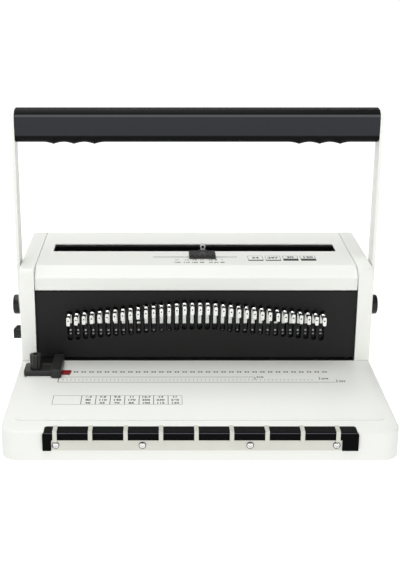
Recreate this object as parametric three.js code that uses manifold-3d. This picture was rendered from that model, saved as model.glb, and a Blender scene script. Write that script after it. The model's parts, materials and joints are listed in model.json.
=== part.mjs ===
// Manual desk machine that punches a row of square holes and closes a wire spine.
// Millimetres, +Z up, front towards -Y. Inside `machine`, y is the depth behind the covers' front face.

import * as THREE from "three";
import { mergeVertices } from "three/addons/utils/BufferGeometryUtils.js";
import Module from "manifold-3d";

const wasm = await Module();
wasm.setup();

// Gaps and cuts
const seatGap = 0.3;
const runningGap = 0.7;
const cutOverrun = 2;
const screwPlay = 0.3;

// Base tray, its bottom plate and feet
const tableDepth = 182;
const bodyDepth = 160;
const baseMargin = 0.3;
const baseHeight = 30;
const baseFrontCorner = 18;
const baseRearCorner = 9;
const baseEdgeRound = 2;
const trayWall = 2.5;
const trayTop = 2.5;
const footReveal = 3;
const footRadius = 8;
const footInset = 27.5;
const footFrontInset = 14;
const footRearInset = 24;
const bottomPlateThickness = 1.5;
const bottomPlateRecess = 1;
const plateauRise = 0.8;
const plateauMargin = 11;
const plateauFront = 26;
const plateauCorner = 8;
const drawerRailWidth = 2;
const drawerRailHeight = 3.5;

// Side covers
const coverWidth = 16.7;
const coverRearInset = 3;
const coverTop = 140;
const coverWall = 2.4;
const coverCorner = 5;
const coverEdgeRound = 2;
const coverLidBottom = 119;
const coverLidInset = 1.8;
const coverBossRadius = 5;
const coverBossFrontDepth = 63;
const coverBossRearInset = 21;
const coverBossLow = 60;
const coverBossHigh = 112;

// Top cover, front panel, rear cover
const sheetWall = 2;
const bandFront = 3;
const bandBottom = 115.3;
const bandTop = 129.5;
const bevelDepth = 17;
const topSurface = 139;
const panelFront = 3.5;
const panelTopGap = 1.3;
const panelBottom = 36.3;
const rearPlateInset = 1;
const rearFlange = 12;

// Punch row
const holePitch = 8.467;
const holeCount = 34;
const pinSide = 4;
const pinPlay = 0.35;
const pinDepth = 12;
const staggerRise = 13;
const staggerFlatShare = 0.09;
const pinTipAboveThroat = 1;
const pinTop = 92;

// Windows and pull keys
const windowWidth = 6;
const windowHeight = 36.2;
const windowLow = 56;
const keyWidth = 3.8;
const keySheet = 1.2;
const keyTabDepth = -18;
const keyTabHeight = 10;
const keyTabMid = 86;
const keyKnuckleDepth = -5.5;
const keyKnuckleRadius = 2.3;
const keyKnuckleLift = 2.6;
const stripBottom = 75.8;
const loosePins = [17, 25, 29, 33];

// Die, guide and frame
const dieThickness = 3.5;
const dieFront = 0.4;
const dieRear = 30;
const throatHeight = 2.5;
const guideFront = 7.5;
const guideRear = 16.2;
const guideHeight = 17.7;
const guideMargin = 12.3;
const guideLeg = 7;
const slotToFrame = 5.5;
const frameToCover = 6;
const framePlateThickness = 3;
const framePlateTop = 134;
const tieRodRadius = 4;
const tieRodInset = 16;
const tieRodLow = 60;
const tieRodHigh = 120;

// Pressure bar and return springs
const pressureFront = 8;
const pressureRear = 21;
const pressureTop = 126;
const pressureMargin = 10.3;
const yokeWidth = 7;
const yokeRear = 26;
const yokeTop = 107;
const yokePlay = 0.6;
const springEarMargin = 3.5;
const springEarDepth = 2.8;
const springEarHeight = 4;
const springRadius = 2.8;
const springWire = 1;
const springTurns = 6;
const springSteps = 8;
const springSides = 5;
const springReach = 11.5;
const springTop = 124;
const springBracketHeight = 2.5;
const springBracketMargin = 4.5;

// Lever: pivot, shaft, arms, grip
const pivotDepth = 33;
const pivotHeight = 89;
const shaftRadius = 6;
const shaftPlay = 0.4;
const armThickness = 3.2;
const armWidth = 26;
const armWaistHeight = 60;
const armFootRadius = 9;
const armTopCorner = 7;
const armTopGap = 2;
const armTopWidth = 24;
const gripHeight = 36;
const gripDepth = 24;
const gripTop = 311;
const gripCorner = 9;
const gripRidgePlaces = [110, 132, 154];
const gripRidgeHalf = 11;
const gripRidgeDepth = 2.2;
const gripTubeRadius = 5;
const armScrewSpacing = 18;
const armScrewHeadRadius = 4.6;
const armScrewHeadHeight = 2;
const armScrewShankRadius = 2;
const armScrewReach = 9;
const capRadius = 11;
const capHeight = 6.6;
const capEdge = 2;

// Drive cranks
const crankPlay = 0.5;
const crankThickness = 5;
const crankHubRadius = 12;
const crankBossRadius = 5.5;
const punchCrankRadius = 16;
const punchPinRadius = 3;
const closerCrankRadius = 12.5;
const closerPinRadius = 2.5;
const closerPlay = 0.6;
const crankSwing = THREE.MathUtils.degToRad(40);

// Wire closer
const slotPlay = 0.5;
const slotFront = 75;
const slotRear = 106.5;
const closerBarFront = 102;
const closerBarThickness = 6;
const closerBarBottom = 112;
const closerArmThickness = 6;
const closerArmBottom = 95.5;
const closerArmTop = 108;
const closerForkHalf = 6;
const closerRodHeight = 8;
const anvilFront = 72;
const anvilThickness = 7;
const troughFloorThickness = 1.7;
const troughFloorRear = 109;

// Size selector
const selectorMid = 8;
const selectorWidth = 30;
const selectorFront = 43.5;
const selectorDepth = 14;
const selectorHeight = 4.8;
const selectorBaseHeight = 2.5;
const selectorRibs = 5;
const selectorRibHeight = 1.2;
const selectorFootWidth = 24;
const selectorFootDepth = 3;
const grooveHalf = 47.5;
const grooveDepth = 52.5;
const selectorPostRadius = 3.05;
const selectorPostHeight = 7.3;
const selectorPostThickness = 5;
const selectorEyeRadius = 1.3;
const selectorEyeDepth = 2;
const wedgeHeight = 7;
const wedgeDepth = 12;
const wedgeStepWidth = 13;
const wedgeStep = 1.6;
const wedgeSteps = 5;

// Edge guide on the table
const guideClearance = 6.3;
const guideBlockWidth = 40.75;
const guideBlockFront = -45.7;
const guideBlockRear = -21;
const guideBlockHeight = 5.7;
const guideRibFront = -26.5;
const guideRibRear = -24;
const guideRibHeight = 0.7;
const guideFenceWidth = 11;
const guideFenceFront = -51.5;
const guideFenceRear = -4;
const guideFenceHeight = 9.4;
const guideKnobOffset = 28.45;
const guideKnobDepth = -36;
const guideKnobRadius = 6.2;
const guideKnobTop = 55.8;
const guideKnobDimpleRadius = 2.6;
const guideKnobDimple = 2;
const guideKnobFlutes = 10;
const guideKnobFluteRadius = 0.9;
const guideKnobStemRadius = 2.5;
const pointerReach = 10;
const pointerFront = -42;
const pointerRear = -34;
const pointerThickness = 2.2;
const pointerSkew = 1.5;

// Margin knob and depth stop
const marginDepth = 23;
const marginHeight = 59.5;
const marginKnobRadius = 6.8;
const marginKnobLength = 10.8;
const marginShaftRadius = 3;
const eccentricRadius = 5;
const eccentricThrow = 1;
const eccentricWidth = 5;
const eccentricPlay = 0.5;
const stopFront = 17.7;
const stopThickness = 3;
const stopBarHeight = 9;
const stopArmInset = 12.5;
const stopArmWall = 2.5;

// Chip drawer
const drawerFrontDepth = -10;
const drawerRearDepth = 38;
const drawerLeft = 155;
const drawerHeight = 10.7;
const drawerWall = 1.5;
const drawerFaceThickness = 2.4;
const drawerFaceHeight = 13;
const drawerLipReach = 3;

// Wire rack on the front edge
const rackHalf = 152.5;
const rackTopDepth = 10.5;
const rackTopThickness = 1.2;
const rackThickness = 2.4;
const rackCapRound = 4;
const rackPlanRound = 1.5;
const rackDrop = 7.2;
const stripDrop = 11.3;
const stripLeft = 144;
const stripRight = 136.8;
const stripThickness = 1.1;
const fingerCount = 9;
const fingerPitch = 34.09;
const firstFinger = -140.3;
const fingerWidth = 4.2;
const fingerThickness = 0.9;
const rackScrewPlaces = [-139.8, -56, 48, 131.5];
const rackScrewHeadRadius = 3;
const rackScrewHeadHeight = 1.3;
const rackScrewShankRadius = 1.5;
const rackScrewLength = 6;

// Roundness of curved faces
const fineSides = 32;
const smallSides = 14;
const arcSteps = 2;
const roundSteps = 3;

// Half widths, worked outwards from the punch row
const firstHole = (holePitch * (holeCount - 1)) / 2;
const pressureHalf = firstHole + pressureMargin;
const guideHalf = firstHole + guideMargin;
const crankInner = pressureHalf + crankPlay;
const crankOuter = crankInner + crankThickness;
const closerInner = crankOuter + runningGap + seatGap;
const closerOuter = closerInner + closerArmThickness;
const slotHalf = closerOuter + slotPlay;
const framePlateInner = slotHalf + slotToFrame;
const framePlateOuter = framePlateInner + framePlateThickness;
const coverInnerHalf = framePlateOuter + frameToCover;
const coverOuterHalf = coverInnerHalf + coverWidth;
const baseWidth = 2 * (coverOuterHalf + baseMargin);
const armInner = coverOuterHalf + runningGap;
const armOuter = armInner + armThickness;
const capReach = armOuter + seatGap + capHeight;
const springHalf = pressureHalf + springReach;
const marginKnobReach = coverOuterHalf + marginKnobLength;
const stopArmInner = framePlateInner - stopArmInset;
const marginShaftEnd = stopArmInner - 2 * eccentricPlay;
const guideBlockRight = firstHole + guideClearance;
const guideBlockLeft = guideBlockRight + guideBlockWidth;
const guideFenceLeft = guideBlockRight + guideFenceWidth;
const guideKnobX = guideBlockRight + guideKnobOffset;

// Depths of the base and the covers
const tableFront = -tableDepth;
const coverFront = 0;
const coverRear = bodyDepth - coverRearInset;
const rearPlateRear = coverRear - rearPlateInset;
const tieRodDepth = rearPlateRear - tieRodInset;

// Places worked out from the sizes above
const baseUnder = footReveal;
const tableTop = baseUnder + baseHeight;
const plateauTop = tableTop + plateauRise;
const bottomPlateLow = baseUnder + bottomPlateRecess;
const bottomPlateHigh = bottomPlateLow + bottomPlateThickness;
const gripMid = gripTop - gripHeight / 2;
const throatTop = plateauTop + throatHeight;
const dieBottom = plateauTop - dieThickness;
const frameBottom = plateauTop + seatGap;
const frameFront = panelFront + sheetWall + seatGap;
const stripFront = frameFront;
const stripRear = stripFront + keySheet;
const rackFaceRear = -seatGap;
const rackFaceFront = rackFaceRear - rackThickness;
const fingerFront = rackFaceFront - seatGap - fingerThickness;
const machineFront = tableFront + fingerFront;
const machineRear = bodyDepth;

// Colours and finishes
function finish(color, roughness, metalness) {
  return new THREE.MeshStandardMaterial({ color, roughness, metalness, flatShading: true });
}
const whitePaint = finish(0xeeefec, 0.45, 0.05);
const blackPanel = finish(0x242426, 0.6, 0.1);
const blackPlastic = finish(0x2b2b2d, 0.55, 0);
const blackGrip = finish(0x3a3a3d, 0.6, 0);
const rubber = finish(0x1b1b1c, 0.85, 0);
const steel = finish(0xc9c9c4, 0.3, 0.9);
const darkSteel = finish(0x6e7072, 0.45, 0.85);
const brightSteel = finish(0xe6e6e2, 0.2, 1);
const redPlastic = finish(0x8b191e, 0.5, 0);

// Solids from closed geometry, and back
function toIndexed(geometry) {
  const plain = geometry.clone();
  for (const name of Object.keys(plain.attributes)) {
    if (name !== "position") {
      plain.deleteAttribute(name);
    }
  }
  return mergeVertices(plain);
}

function toSolid(geometry) {
  const merged = toIndexed(geometry);
  return new wasm.Manifold(new wasm.Mesh({
    numProp: 3,
    vertProperties: merged.attributes.position.array,
    triVerts: Uint32Array.from(merged.index.array),
  }));
}

function toGeometry(solid) {
  const mesh = solid.getMesh();
  const geometry = new THREE.BufferGeometry();
  geometry.setAttribute("position", new THREE.BufferAttribute(mesh.vertProperties, 3));
  geometry.setIndex(new THREE.BufferAttribute(mesh.triVerts, 1));
  return geometry;
}

function join(base, ...others) {
  return toGeometry(others.reduce((sum, other) => sum.add(toSolid(other)), toSolid(base)));
}

function cut(base, ...tools) {
  return toGeometry(tools.reduce((rest, tool) => rest.subtract(toSolid(tool)), toSolid(base)));
}

// A block between two corners
function block([x0, x1], [y0, y1], [z0, z1]) {
  const geometry = new THREE.BoxGeometry(x1 - x0, y1 - y0, z1 - z0);
  return geometry.translate((x0 + x1) / 2, (y0 + y1) / 2, (z0 + z1) / 2);
}

// Outlines
function polygon(points) {
  return new THREE.Shape(points.map(([u, v]) => new THREE.Vector2(u, v)));
}

// A rectangle whose corners are rounded: low left, low right, high right, high left
function roundedRect([u0, u1], [v0, v1], radii) {
  const [lowLeft, lowRight, highRight, highLeft] = radii;
  const quarter = Math.PI / 2;
  const shape = new THREE.Shape();
  shape.absarc(u0 + lowLeft, v0 + lowLeft, lowLeft, -Math.PI, -quarter);
  shape.absarc(u1 - lowRight, v0 + lowRight, lowRight, -quarter, 0);
  shape.absarc(u1 - highRight, v1 - highRight, highRight, 0, quarter);
  shape.absarc(u0 + highLeft, v1 - highLeft, highLeft, quarter, Math.PI);
  return shape;
}

function evenRect(us, vs, radius) {
  return roundedRect(us, vs, [radius, radius, radius, radius]);
}

// Extrusions between two places on an axis: alongX takes (y, z) outlines, alongY (x, z), alongZ (x, y)
function extrude(shape, from, to, steps) {
  const options = { depth: to - from, bevelEnabled: false, curveSegments: steps };
  return new THREE.ExtrudeGeometry(shape, options);
}

function turned(geometry, across, up, out) {
  const axes = new THREE.Matrix4().makeBasis(
    new THREE.Vector3(...across), new THREE.Vector3(...up), new THREE.Vector3(...out));
  return geometry.applyMatrix4(axes);
}

function alongX(shape, from, to, steps = arcSteps) {
  return turned(extrude(shape, from, to, steps), [0, 1, 0], [0, 0, 1], [1, 0, 0]).translate(from, 0, 0);
}

function alongY(shape, from, to, steps = arcSteps) {
  return turned(extrude(shape, from, to, steps), [1, 0, 0], [0, 0, 1], [0, -1, 0]).translate(0, to, 0);
}

function alongZ(shape, from, to, steps = arcSteps) {
  return extrude(shape, from, to, steps).translate(0, 0, from);
}

function rodX(radius, from, to, y, z, sides = smallSides) {
  const geometry = new THREE.CylinderGeometry(radius, radius, to - from, sides);
  return geometry.rotateZ(-Math.PI / 2).translate((from + to) / 2, y, z);
}

function rodY(radius, from, to, x, z, sides = smallSides) {
  const geometry = new THREE.CylinderGeometry(radius, radius, to - from, sides);
  return geometry.translate(x, (from + to) / 2, z);
}

function rodZ(radius, from, to, x, y, sides = smallSides) {
  const geometry = new THREE.CylinderGeometry(radius, radius, to - from, sides);
  return geometry.rotateX(Math.PI / 2).translate(x, y, (from + to) / 2);
}

// A disc about X with a rounded outer rim, from its flat back to its face
function domedDisc(radius, edge, back, face) {
  const height = Math.abs(face - back);
  const profile = [new THREE.Vector2(0, 0), new THREE.Vector2(radius, 0)];
  for (let step = 0; step <= roundSteps; step += 1) {
    const angle = (Math.PI / 2) * (step / roundSteps);
    const inward = radius - edge + edge * Math.cos(angle);
    profile.push(new THREE.Vector2(inward, height - edge + edge * Math.sin(angle)));
  }
  profile.push(new THREE.Vector2(0, height));
  const geometry = new THREE.LatheGeometry(profile, fineSides);
  geometry.rotateZ(face > back ? -Math.PI / 2 : Math.PI / 2);
  return geometry.translate(back, 0, 0);
}

function addPart(group, name, geometry, material, place = [0, 0, 0]) {
  const mesh = new THREE.Mesh(geometry, material);
  mesh.name = name;
  mesh.position.set(...place);
  group.add(mesh);
}

// Height that a pin gains over the end pins, so that the row bites in stages
function stagger(x) {
  const share = (1 - Math.abs(x) / firstHole) / (1 - staggerFlatShare);
  return staggerRise * Math.min(1, Math.max(0, share));
}

function holeX(number) {
  return (number - 1) * holePitch - firstHole;
}

const holeNumbers = Array.from({ length: holeCount }, (_, index) => index + 1);

// Small sizes of single pieces
const ledgeReach = 12;
const ledgeLip = 4;
const ledgeThickness = 3;
const dieOverhang = 5.5;
const postRadius = 5;
const footChamfer = 1.5;
const footWaist = 1;
const slotCorner = 3;
const plateChamfer = 6;
const railHeight = 3;
const webHeight = 4;
const keyArmThickness = 1.6;
const keyRailFront = 7.4;
const keyRailRear = 9.6;
const keyRailHeight = 2.5;
const selectorTongue = 10;
const selectorPostX = 1;
const selectorPostDepth = 69.5;
const blockCorner = 3;
const blockRound = 1;
const stemDepth = 4;
const knobBaseThickness = 3;
const knobWing = 6;
const knobChamfer = 3.4;
const knobRoof = 2;
const drawerMouthMargin = 2;
const rackNose = 0.8;
const fingerFoot = 1.3;
const steelOverlap = 0.4;

const dieHalf = framePlateOuter + dieOverhang;
const closerTop = topSurface - sheetWall - 2 * seatGap;
const coverBottom = tableTop + seatGap;
const punchPinPlace = [-punchCrankRadius * Math.cos(crankSwing), punchCrankRadius * Math.sin(crankSwing)];
const closerPinPlace = [closerCrankRadius * Math.sin(crankSwing), closerCrankRadius * Math.cos(crankSwing)];
const flatHalf = staggerFlatShare * firstHole;

// The stretch between two distances from the middle, on the left (-1) or the right (1)
function onSide(side, inner, outer) {
  return side > 0 ? [inner, outer] : [-outer, -inner];
}

function around(mid, half) {
  return [mid - half, mid + half];
}

// An extrusion from 0 to a length along Z with a rounded far edge; its outline is drawn smaller by the edge
function softExtrude(shape, length, edge) {
  const whole = new THREE.ExtrudeGeometry(shape, {
    depth: length - edge,
    bevelThickness: edge,
    bevelSize: edge,
    bevelSegments: roundSteps,
    curveSegments: arcSteps,
  });
  whole.computeBoundingBox();
  const { min, max } = whole.boundingBox;
  const width = [min.x - cutOverrun, max.x + cutOverrun];
  const depth = [min.y - cutOverrun, max.y + cutOverrun];
  return cut(whole, block(width, depth, [min.z - cutOverrun, 0]));
}

// The same solid on the other side of the middle
function mirrored(geometry) {
  const plain = geometry.clone().scale(-1, 1, 1);
  const swap = (values, first, second) => {
    [values[first], values[second]] = [values[second], values[first]];
  };
  const merged = toIndexed(plain);
  const corners = merged.index.array;
  for (let corner = 0; corner < corners.length; corner += 3) {
    swap(corners, corner, corner + 1);
  }
  return merged;
}

function trayOutline(inset) {
  const half = baseWidth / 2;
  const corners = [baseFrontCorner, baseFrontCorner, baseRearCorner, baseRearCorner];
  const radii = corners.map((radius) => radius - inset);
  return roundedRect([inset - half, half - inset], [tableFront + inset, bodyDepth - inset], radii);
}

const footPlaces = [
  ["front_left", footInset - baseWidth / 2, tableFront + footFrontInset],
  ["front_right", baseWidth / 2 - footInset, tableFront + footFrontInset],
  ["rear_left", footInset - baseWidth / 2, bodyDepth - footRearInset],
  ["rear_right", baseWidth / 2 - footInset, bodyDepth - footRearInset],
];

const rackScrewHeight = tableTop - rackDrop - stripDrop / 2;
const drawerMouthDepths = [drawerFrontDepth - drawerMouthMargin, drawerRearDepth + drawerMouthMargin];
const drawerMouthHeights = [bottomPlateHigh, bottomPlateHigh + drawerFaceHeight];

// A pan open below with a raised table, a seat for the die, posts, and a mouth for the drawer
function baseTray() {
  const half = baseWidth / 2;
  const body = softExtrude(trayOutline(baseEdgeRound), baseHeight, baseEdgeRound).translate(0, 0, baseUnder);
  const hollow = alongZ(trayOutline(trayWall), baseUnder - cutOverrun, tableTop - trayTop);
  const tableEdges = [around(0, half - plateauMargin), [tableFront + plateauFront, coverFront - seatGap]];
  const table = alongZ(evenRect(...tableEdges, plateauCorner), tableTop - trayTop / 2, plateauTop);
  const ledges = [-1, 1].map((side) => block(
    onSide(side, dieHalf - ledgeReach, dieHalf + ledgeLip),
    [dieFront - ledgeLip, dieRear + ledgeLip],
    [dieBottom - seatGap - ledgeThickness, tableTop - trayTop / 2]));
  const posts = footPlaces.map(([, x, y]) => (
    rodZ(postRadius, bottomPlateHigh + seatGap, tableTop - trayTop / 2, x, y)));
  const dieSeat = block(
    around(0, dieHalf + seatGap), [dieFront - seatGap, dieRear + seatGap],
    [dieBottom - seatGap, plateauTop + cutOverrun]);
  const mouthWidths = [half - trayWall - cutOverrun, half + cutOverrun];
  const mouth = block(mouthWidths, drawerMouthDepths, drawerMouthHeights);
  const holeDepths = [tableFront - cutOverrun, tableFront + trayWall + cutOverrun];
  const screwHoles = rackScrewPlaces.map((x) => (
    rodY(rackScrewShankRadius + screwPlay, ...holeDepths, x, rackScrewHeight)));
  return cut(join(cut(body, hollow), table, ...ledges, ...posts), dieSeat, mouth, ...screwHoles);
}

function bottomPlate() {
  const plate = alongZ(trayOutline(trayWall + seatGap), bottomPlateLow, bottomPlateHigh);
  const reach = [-drawerLeft, baseWidth / 2 - 2 * trayWall];
  const heights = [bottomPlateLow, bottomPlateHigh + drawerRailHeight];
  const frontRail = drawerFrontDepth - seatGap;
  const rearRail = drawerRearDepth + seatGap;
  return join(
    plate,
    block(reach, [frontRail - drawerRailWidth, frontRail], heights),
    block(reach, [rearRail, rearRail + drawerRailWidth], heights));
}

function foot() {
  const height = bottomPlateLow - seatGap;
  const profile = [
    [0, 0], [footRadius - footChamfer, 0], [footRadius, footChamfer],
    [footRadius - footWaist, height], [0, height],
  ];
  const points = profile.map(([radius, level]) => new THREE.Vector2(radius, level));
  return new THREE.LatheGeometry(points, smallSides).rotateX(Math.PI / 2);
}

// A shell open below and towards the middle, closed by a lid near its top, with bosses for its screws;
// drawn on the right
function sideCover(holes) {
  const edge = coverEdgeRound;
  const corner = coverCorner - edge;
  const skirt = coverBottom - 2 * cutOverrun;
  const outline = evenRect([coverFront + edge, coverRear - edge], [skirt, coverTop - edge], corner);
  const upright = softExtrude(outline, coverOuterHalf - coverInnerHalf, edge);
  const shell = turned(upright, [0, 1, 0], [0, 0, 1], [1, 0, 0]);
  const roomDepths = [coverFront + coverWall, coverRear - coverWall];
  const room = evenRect(roomDepths, [skirt, coverTop - coverWall], corner);
  const bossPlaces = [[coverBossFrontDepth, coverBossLow], [coverRear - coverBossRearInset, coverBossHigh]];
  const bosses = bossPlaces.map(([y, z]) => (
    rodX(coverBossRadius, framePlateOuter + seatGap, coverOuterHalf - coverWall / 2, y, z)));
  const depths = [coverFront - cutOverrun, coverRear + cutOverrun];
  const widths = [coverInnerHalf - cutOverrun, coverOuterHalf + cutOverrun];
  const hollow = cut(
    shell.translate(coverInnerHalf, 0, 0),
    alongX(room, coverInnerHalf - cutOverrun, coverOuterHalf - coverWall),
    block(widths, depths, [skirt - 2 * cutOverrun, coverBottom]));
  const lid = block(
    [coverInnerHalf, coverInnerHalf + coverWall], [coverFront + coverLidInset, coverRear - coverLidInset],
    [coverLidBottom, coverTop - coverLidInset]);
  return cut(join(hollow, lid, ...bosses), ...holes.map(([radius, y, z]) => rodX(radius, ...widths, y, z)));
}

// A bent sheet: front band, bevel and flat top, with the closer's slot and the selector's groove
function topCover() {
  const wall = sheetWall;
  const rise = Math.atan2(topSurface - bandTop, bevelDepth);
  const bandMitre = wall * Math.tan((Math.PI / 2 - rise) / 2);
  const topMitre = wall * Math.tan(rise / 2);
  const profile = polygon([
    [bandFront, bandBottom], [bandFront + wall, bandBottom], [bandFront + wall, bandTop - bandMitre],
    [bandFront + bevelDepth + topMitre, topSurface - wall], [rearPlateRear, topSurface - wall],
    [rearPlateRear, topSurface], [bandFront + bevelDepth, topSurface], [bandFront, bandTop],
  ]);
  const half = coverInnerHalf - seatGap;
  const heights = [topSurface - wall - cutOverrun, topSurface + cutOverrun];
  const slot = alongZ(evenRect(around(0, slotHalf), [slotFront, slotRear], slotCorner), ...heights);
  const grooveDepths = around(grooveDepth, selectorFootDepth / 2 + seatGap);
  const groove = block(around(0, grooveHalf), grooveDepths, heights);
  return cut(alongX(profile, -half, half), slot, groove);
}

function rearCover() {
  const high = topSurface - sheetWall - seatGap;
  const rear = rearPlateRear;
  const profile = polygon([
    [rear - sheetWall, coverBottom], [rear, coverBottom], [rear, high], [rear - rearFlange, high],
    [rear - rearFlange, high - sheetWall], [rear - sheetWall, high - sheetWall],
  ]);
  const half = coverInnerHalf - seatGap;
  return alongX(profile, -half, half);
}

function frontPanel() {
  const windows = holeNumbers.map((number) => {
    const x = holeX(number);
    const low = windowLow + stagger(x);
    const outline = evenRect(around(x, windowWidth / 2), [low, low + windowHeight], windowWidth / 2);
    return alongY(outline, panelFront - cutOverrun, panelFront + sheetWall + cutOverrun);
  });
  const half = coverInnerHalf - seatGap;
  const heights = [panelBottom, bandBottom - panelTopGap];
  return cut(block([-half, half], [panelFront, panelFront + sheetWall], heights), ...windows);
}

// A steel side plate with the bent tab that the return spring hangs from; drawn on the right
function framePlate(holes) {
  const rear = rearPlateRear - sheetWall - seatGap;
  const outline = polygon([
    [frameFront, frameBottom], [rear, frameBottom], [rear, framePlateTop],
    [bandFront + bevelDepth + ledgeLip, framePlateTop], [frameFront, bandTop - plateChamfer],
  ]);
  const plate = alongX(outline, framePlateInner, framePlateOuter);
  const tab = block(
    [springHalf - springBracketMargin, framePlateInner + framePlateThickness / 2],
    [frameFront + steelOverlap, pinDepth + pinSide / 2], [springTop, springTop + springBracketHeight]);
  const widths = [framePlateInner - cutOverrun, framePlateOuter + cutOverrun];
  return cut(join(plate, tab), ...holes.map(([radius, y, z]) => rodX(radius, ...widths, y, z)));
}

function punchSlab(halfWidth, depths, low, high) {
  const reach = pinSide / 2 + pinPlay;
  const heights = [low - cutOverrun, high + cutOverrun];
  const holes = holeNumbers.map((number) => (
    block(around(holeX(number), reach), around(pinDepth, reach), heights)));
  return cut(block(around(0, halfWidth), depths, [low, high]), ...holes);
}

function pinGuidePlate() {
  const legs = [-1, 1].map((side) => block(
    onSide(side, guideHalf - guideLeg, guideHalf), [guideFront, guideRear],
    [plateauTop + seatGap, throatTop + guideHeight / 2]));
  return join(punchSlab(guideHalf, [guideFront, guideRear], throatTop, throatTop + guideHeight), ...legs);
}

// The staggered line at a height, from one end to the other
function staggerLine(ends, height) {
  return [-ends, -firstHole, -flatHalf, flatHalf, firstHole, ends].map((x) => [x, height + stagger(x)]);
}

function staggerBand(ends, low, high) {
  return polygon([...staggerLine(ends, low), ...staggerLine(ends, high).reverse()]);
}

// All the square pins with the bright strip in front of each, joined by the rail under the pressure bar
function punchPins() {
  const half = pinSide / 2;
  const rail = alongY(staggerBand(firstHole + half, pinTop - railHeight, pinTop), ...around(pinDepth, half));
  const pieces = holeNumbers.flatMap((number) => {
    const x = holeX(number);
    const lift = stagger(x);
    const armUnder = keyTabMid + lift - seatGap;
    return [
      block(
        around(x, half), around(pinDepth, half),
        [throatTop + pinTipAboveThroat + lift, pinTop - railHeight / 2 + lift]),
      block(around(x, keyWidth / 2), [stripFront, stripRear], [stripBottom, armUnder]),
      block(
        around(x, half - seatGap), [stripRear - steelOverlap, pinDepth - half + steelOverlap],
        [stripBottom + seatGap, stripBottom + webHeight]),
    ];
  });
  return join(rail, ...pieces);
}

// One pull key seen from the side, about the middle of its front tab: arm, round knuckle on it and tab
function keyShape() {
  const rear = pinDepth - pinSide / 2 - seatGap;
  const tabRear = keyTabDepth + keySheet;
  const tabHalf = keyTabHeight / 2;
  const meet = Math.asin((keyArmThickness - keyKnuckleLift) / keyKnuckleRadius);
  const shape = new THREE.Shape();
  shape.moveTo(rear, 0);
  shape.lineTo(rear, keyArmThickness);
  shape.absarc(keyKnuckleDepth, keyKnuckleLift, keyKnuckleRadius, meet, Math.PI - meet);
  shape.lineTo(tabRear, keyArmThickness);
  shape.lineTo(tabRear, tabHalf);
  shape.lineTo(keyTabDepth, tabHalf);
  shape.lineTo(keyTabDepth, -tabHalf);
  shape.lineTo(tabRear, -tabHalf);
  shape.lineTo(tabRear, 0);
  return shape;
}

function pullKey() {
  return alongX(keyShape(), -keyWidth / 2, keyWidth / 2);
}

function keyPlace(number) {
  const x = holeX(number);
  return [x, 0, keyTabMid + stagger(x)];
}

// The pull keys that stay engaged, hung from one staggered rail that passes over the loose ones
function pullKeyRow() {
  const armTop = keyTabMid + keyArmThickness;
  const railLow = armTop + seatGap;
  const depths = [keyRailFront, keyRailRear];
  const band = staggerBand(firstHole + keyWidth / 2, railLow, railLow + keyRailHeight);
  const rail = alongY(band, ...depths);
  const joined = holeNumbers.filter((number) => !loosePins.includes(number));
  const pieces = joined.flatMap((number) => {
    const [x, , z] = keyPlace(number);
    const lift = stagger(x);
    const heights = [armTop + lift - keyArmThickness / 2, railLow + lift + keyRailHeight / 2];
    return [pullKey().translate(x, 0, z), block(around(x, keyWidth / 2), depths, heights)];
  });
  return join(rail, ...pieces);
}

// The bar that drives the pins, with a fork for each crank and an ear for each return spring
function pressureBar() {
  const under = pinTop + seatGap;
  const outline = polygon([
    ...staggerLine(pressureHalf, under), [pressureHalf, pressureTop], [-pressureHalf, pressureTop],
  ]);
  const bar = alongY(outline, pressureFront, pressureRear);
  const pinHeight = pivotHeight + punchPinPlace[1];
  const reach = punchPinRadius + yokePlay;
  const slotStart = pivotDepth - punchCrankRadius - reach;
  const forks = [];
  const slots = [];
  const ears = [];
  for (const side of [-1, 1]) {
    const width = onSide(side, pressureHalf - yokeWidth, pressureHalf);
    forks.push(block(width, [pressureFront, yokeRear], [under, yokeTop]));
    slots.push(block(
      onSide(side, pressureHalf - yokeWidth - seatGap, pressureHalf + cutOverrun),
      [slotStart, yokeRear + cutOverrun], around(pinHeight, reach)));
    ears.push(block(
      onSide(side, pressureHalf - steelOverlap, springHalf + springEarMargin),
      [pressureFront, pressureFront + springEarDepth], [under, under + springEarHeight]));
  }
  return cut(join(bar, ...forks, ...ears), ...slots);
}

class Helix extends THREE.Curve {
  constructor(radius, low, high) {
    super();
    this.radius = radius;
    this.low = low;
    this.high = high;
  }

  getPoint(share) {
    const angle = 2 * Math.PI * springTurns * share;
    const height = this.low + (this.high - this.low) * share;
    return new THREE.Vector3(this.radius * Math.cos(angle), this.radius * Math.sin(angle), height);
  }
}

function returnSpring() {
  const low = pinTop + springEarHeight + 2 * seatGap + springWire / 2;
  const curve = new Helix(springRadius, low, springTop - seatGap - springWire / 2);
  const section = polygon(Array.from({ length: springSides }, (_, corner) => {
    const angle = (2 * Math.PI * corner) / springSides;
    return [springWire / 2 * Math.cos(angle), springWire / 2 * Math.sin(angle)];
  }));
  return new THREE.ExtrudeGeometry(section, { extrudePath: curve, steps: springTurns * springSteps });
}

// The lever's pieces are drawn about the pivot
const gripLevel = gripMid - pivotHeight;
const screwLevels = around(gripLevel, armScrewSpacing / 2);

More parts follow.
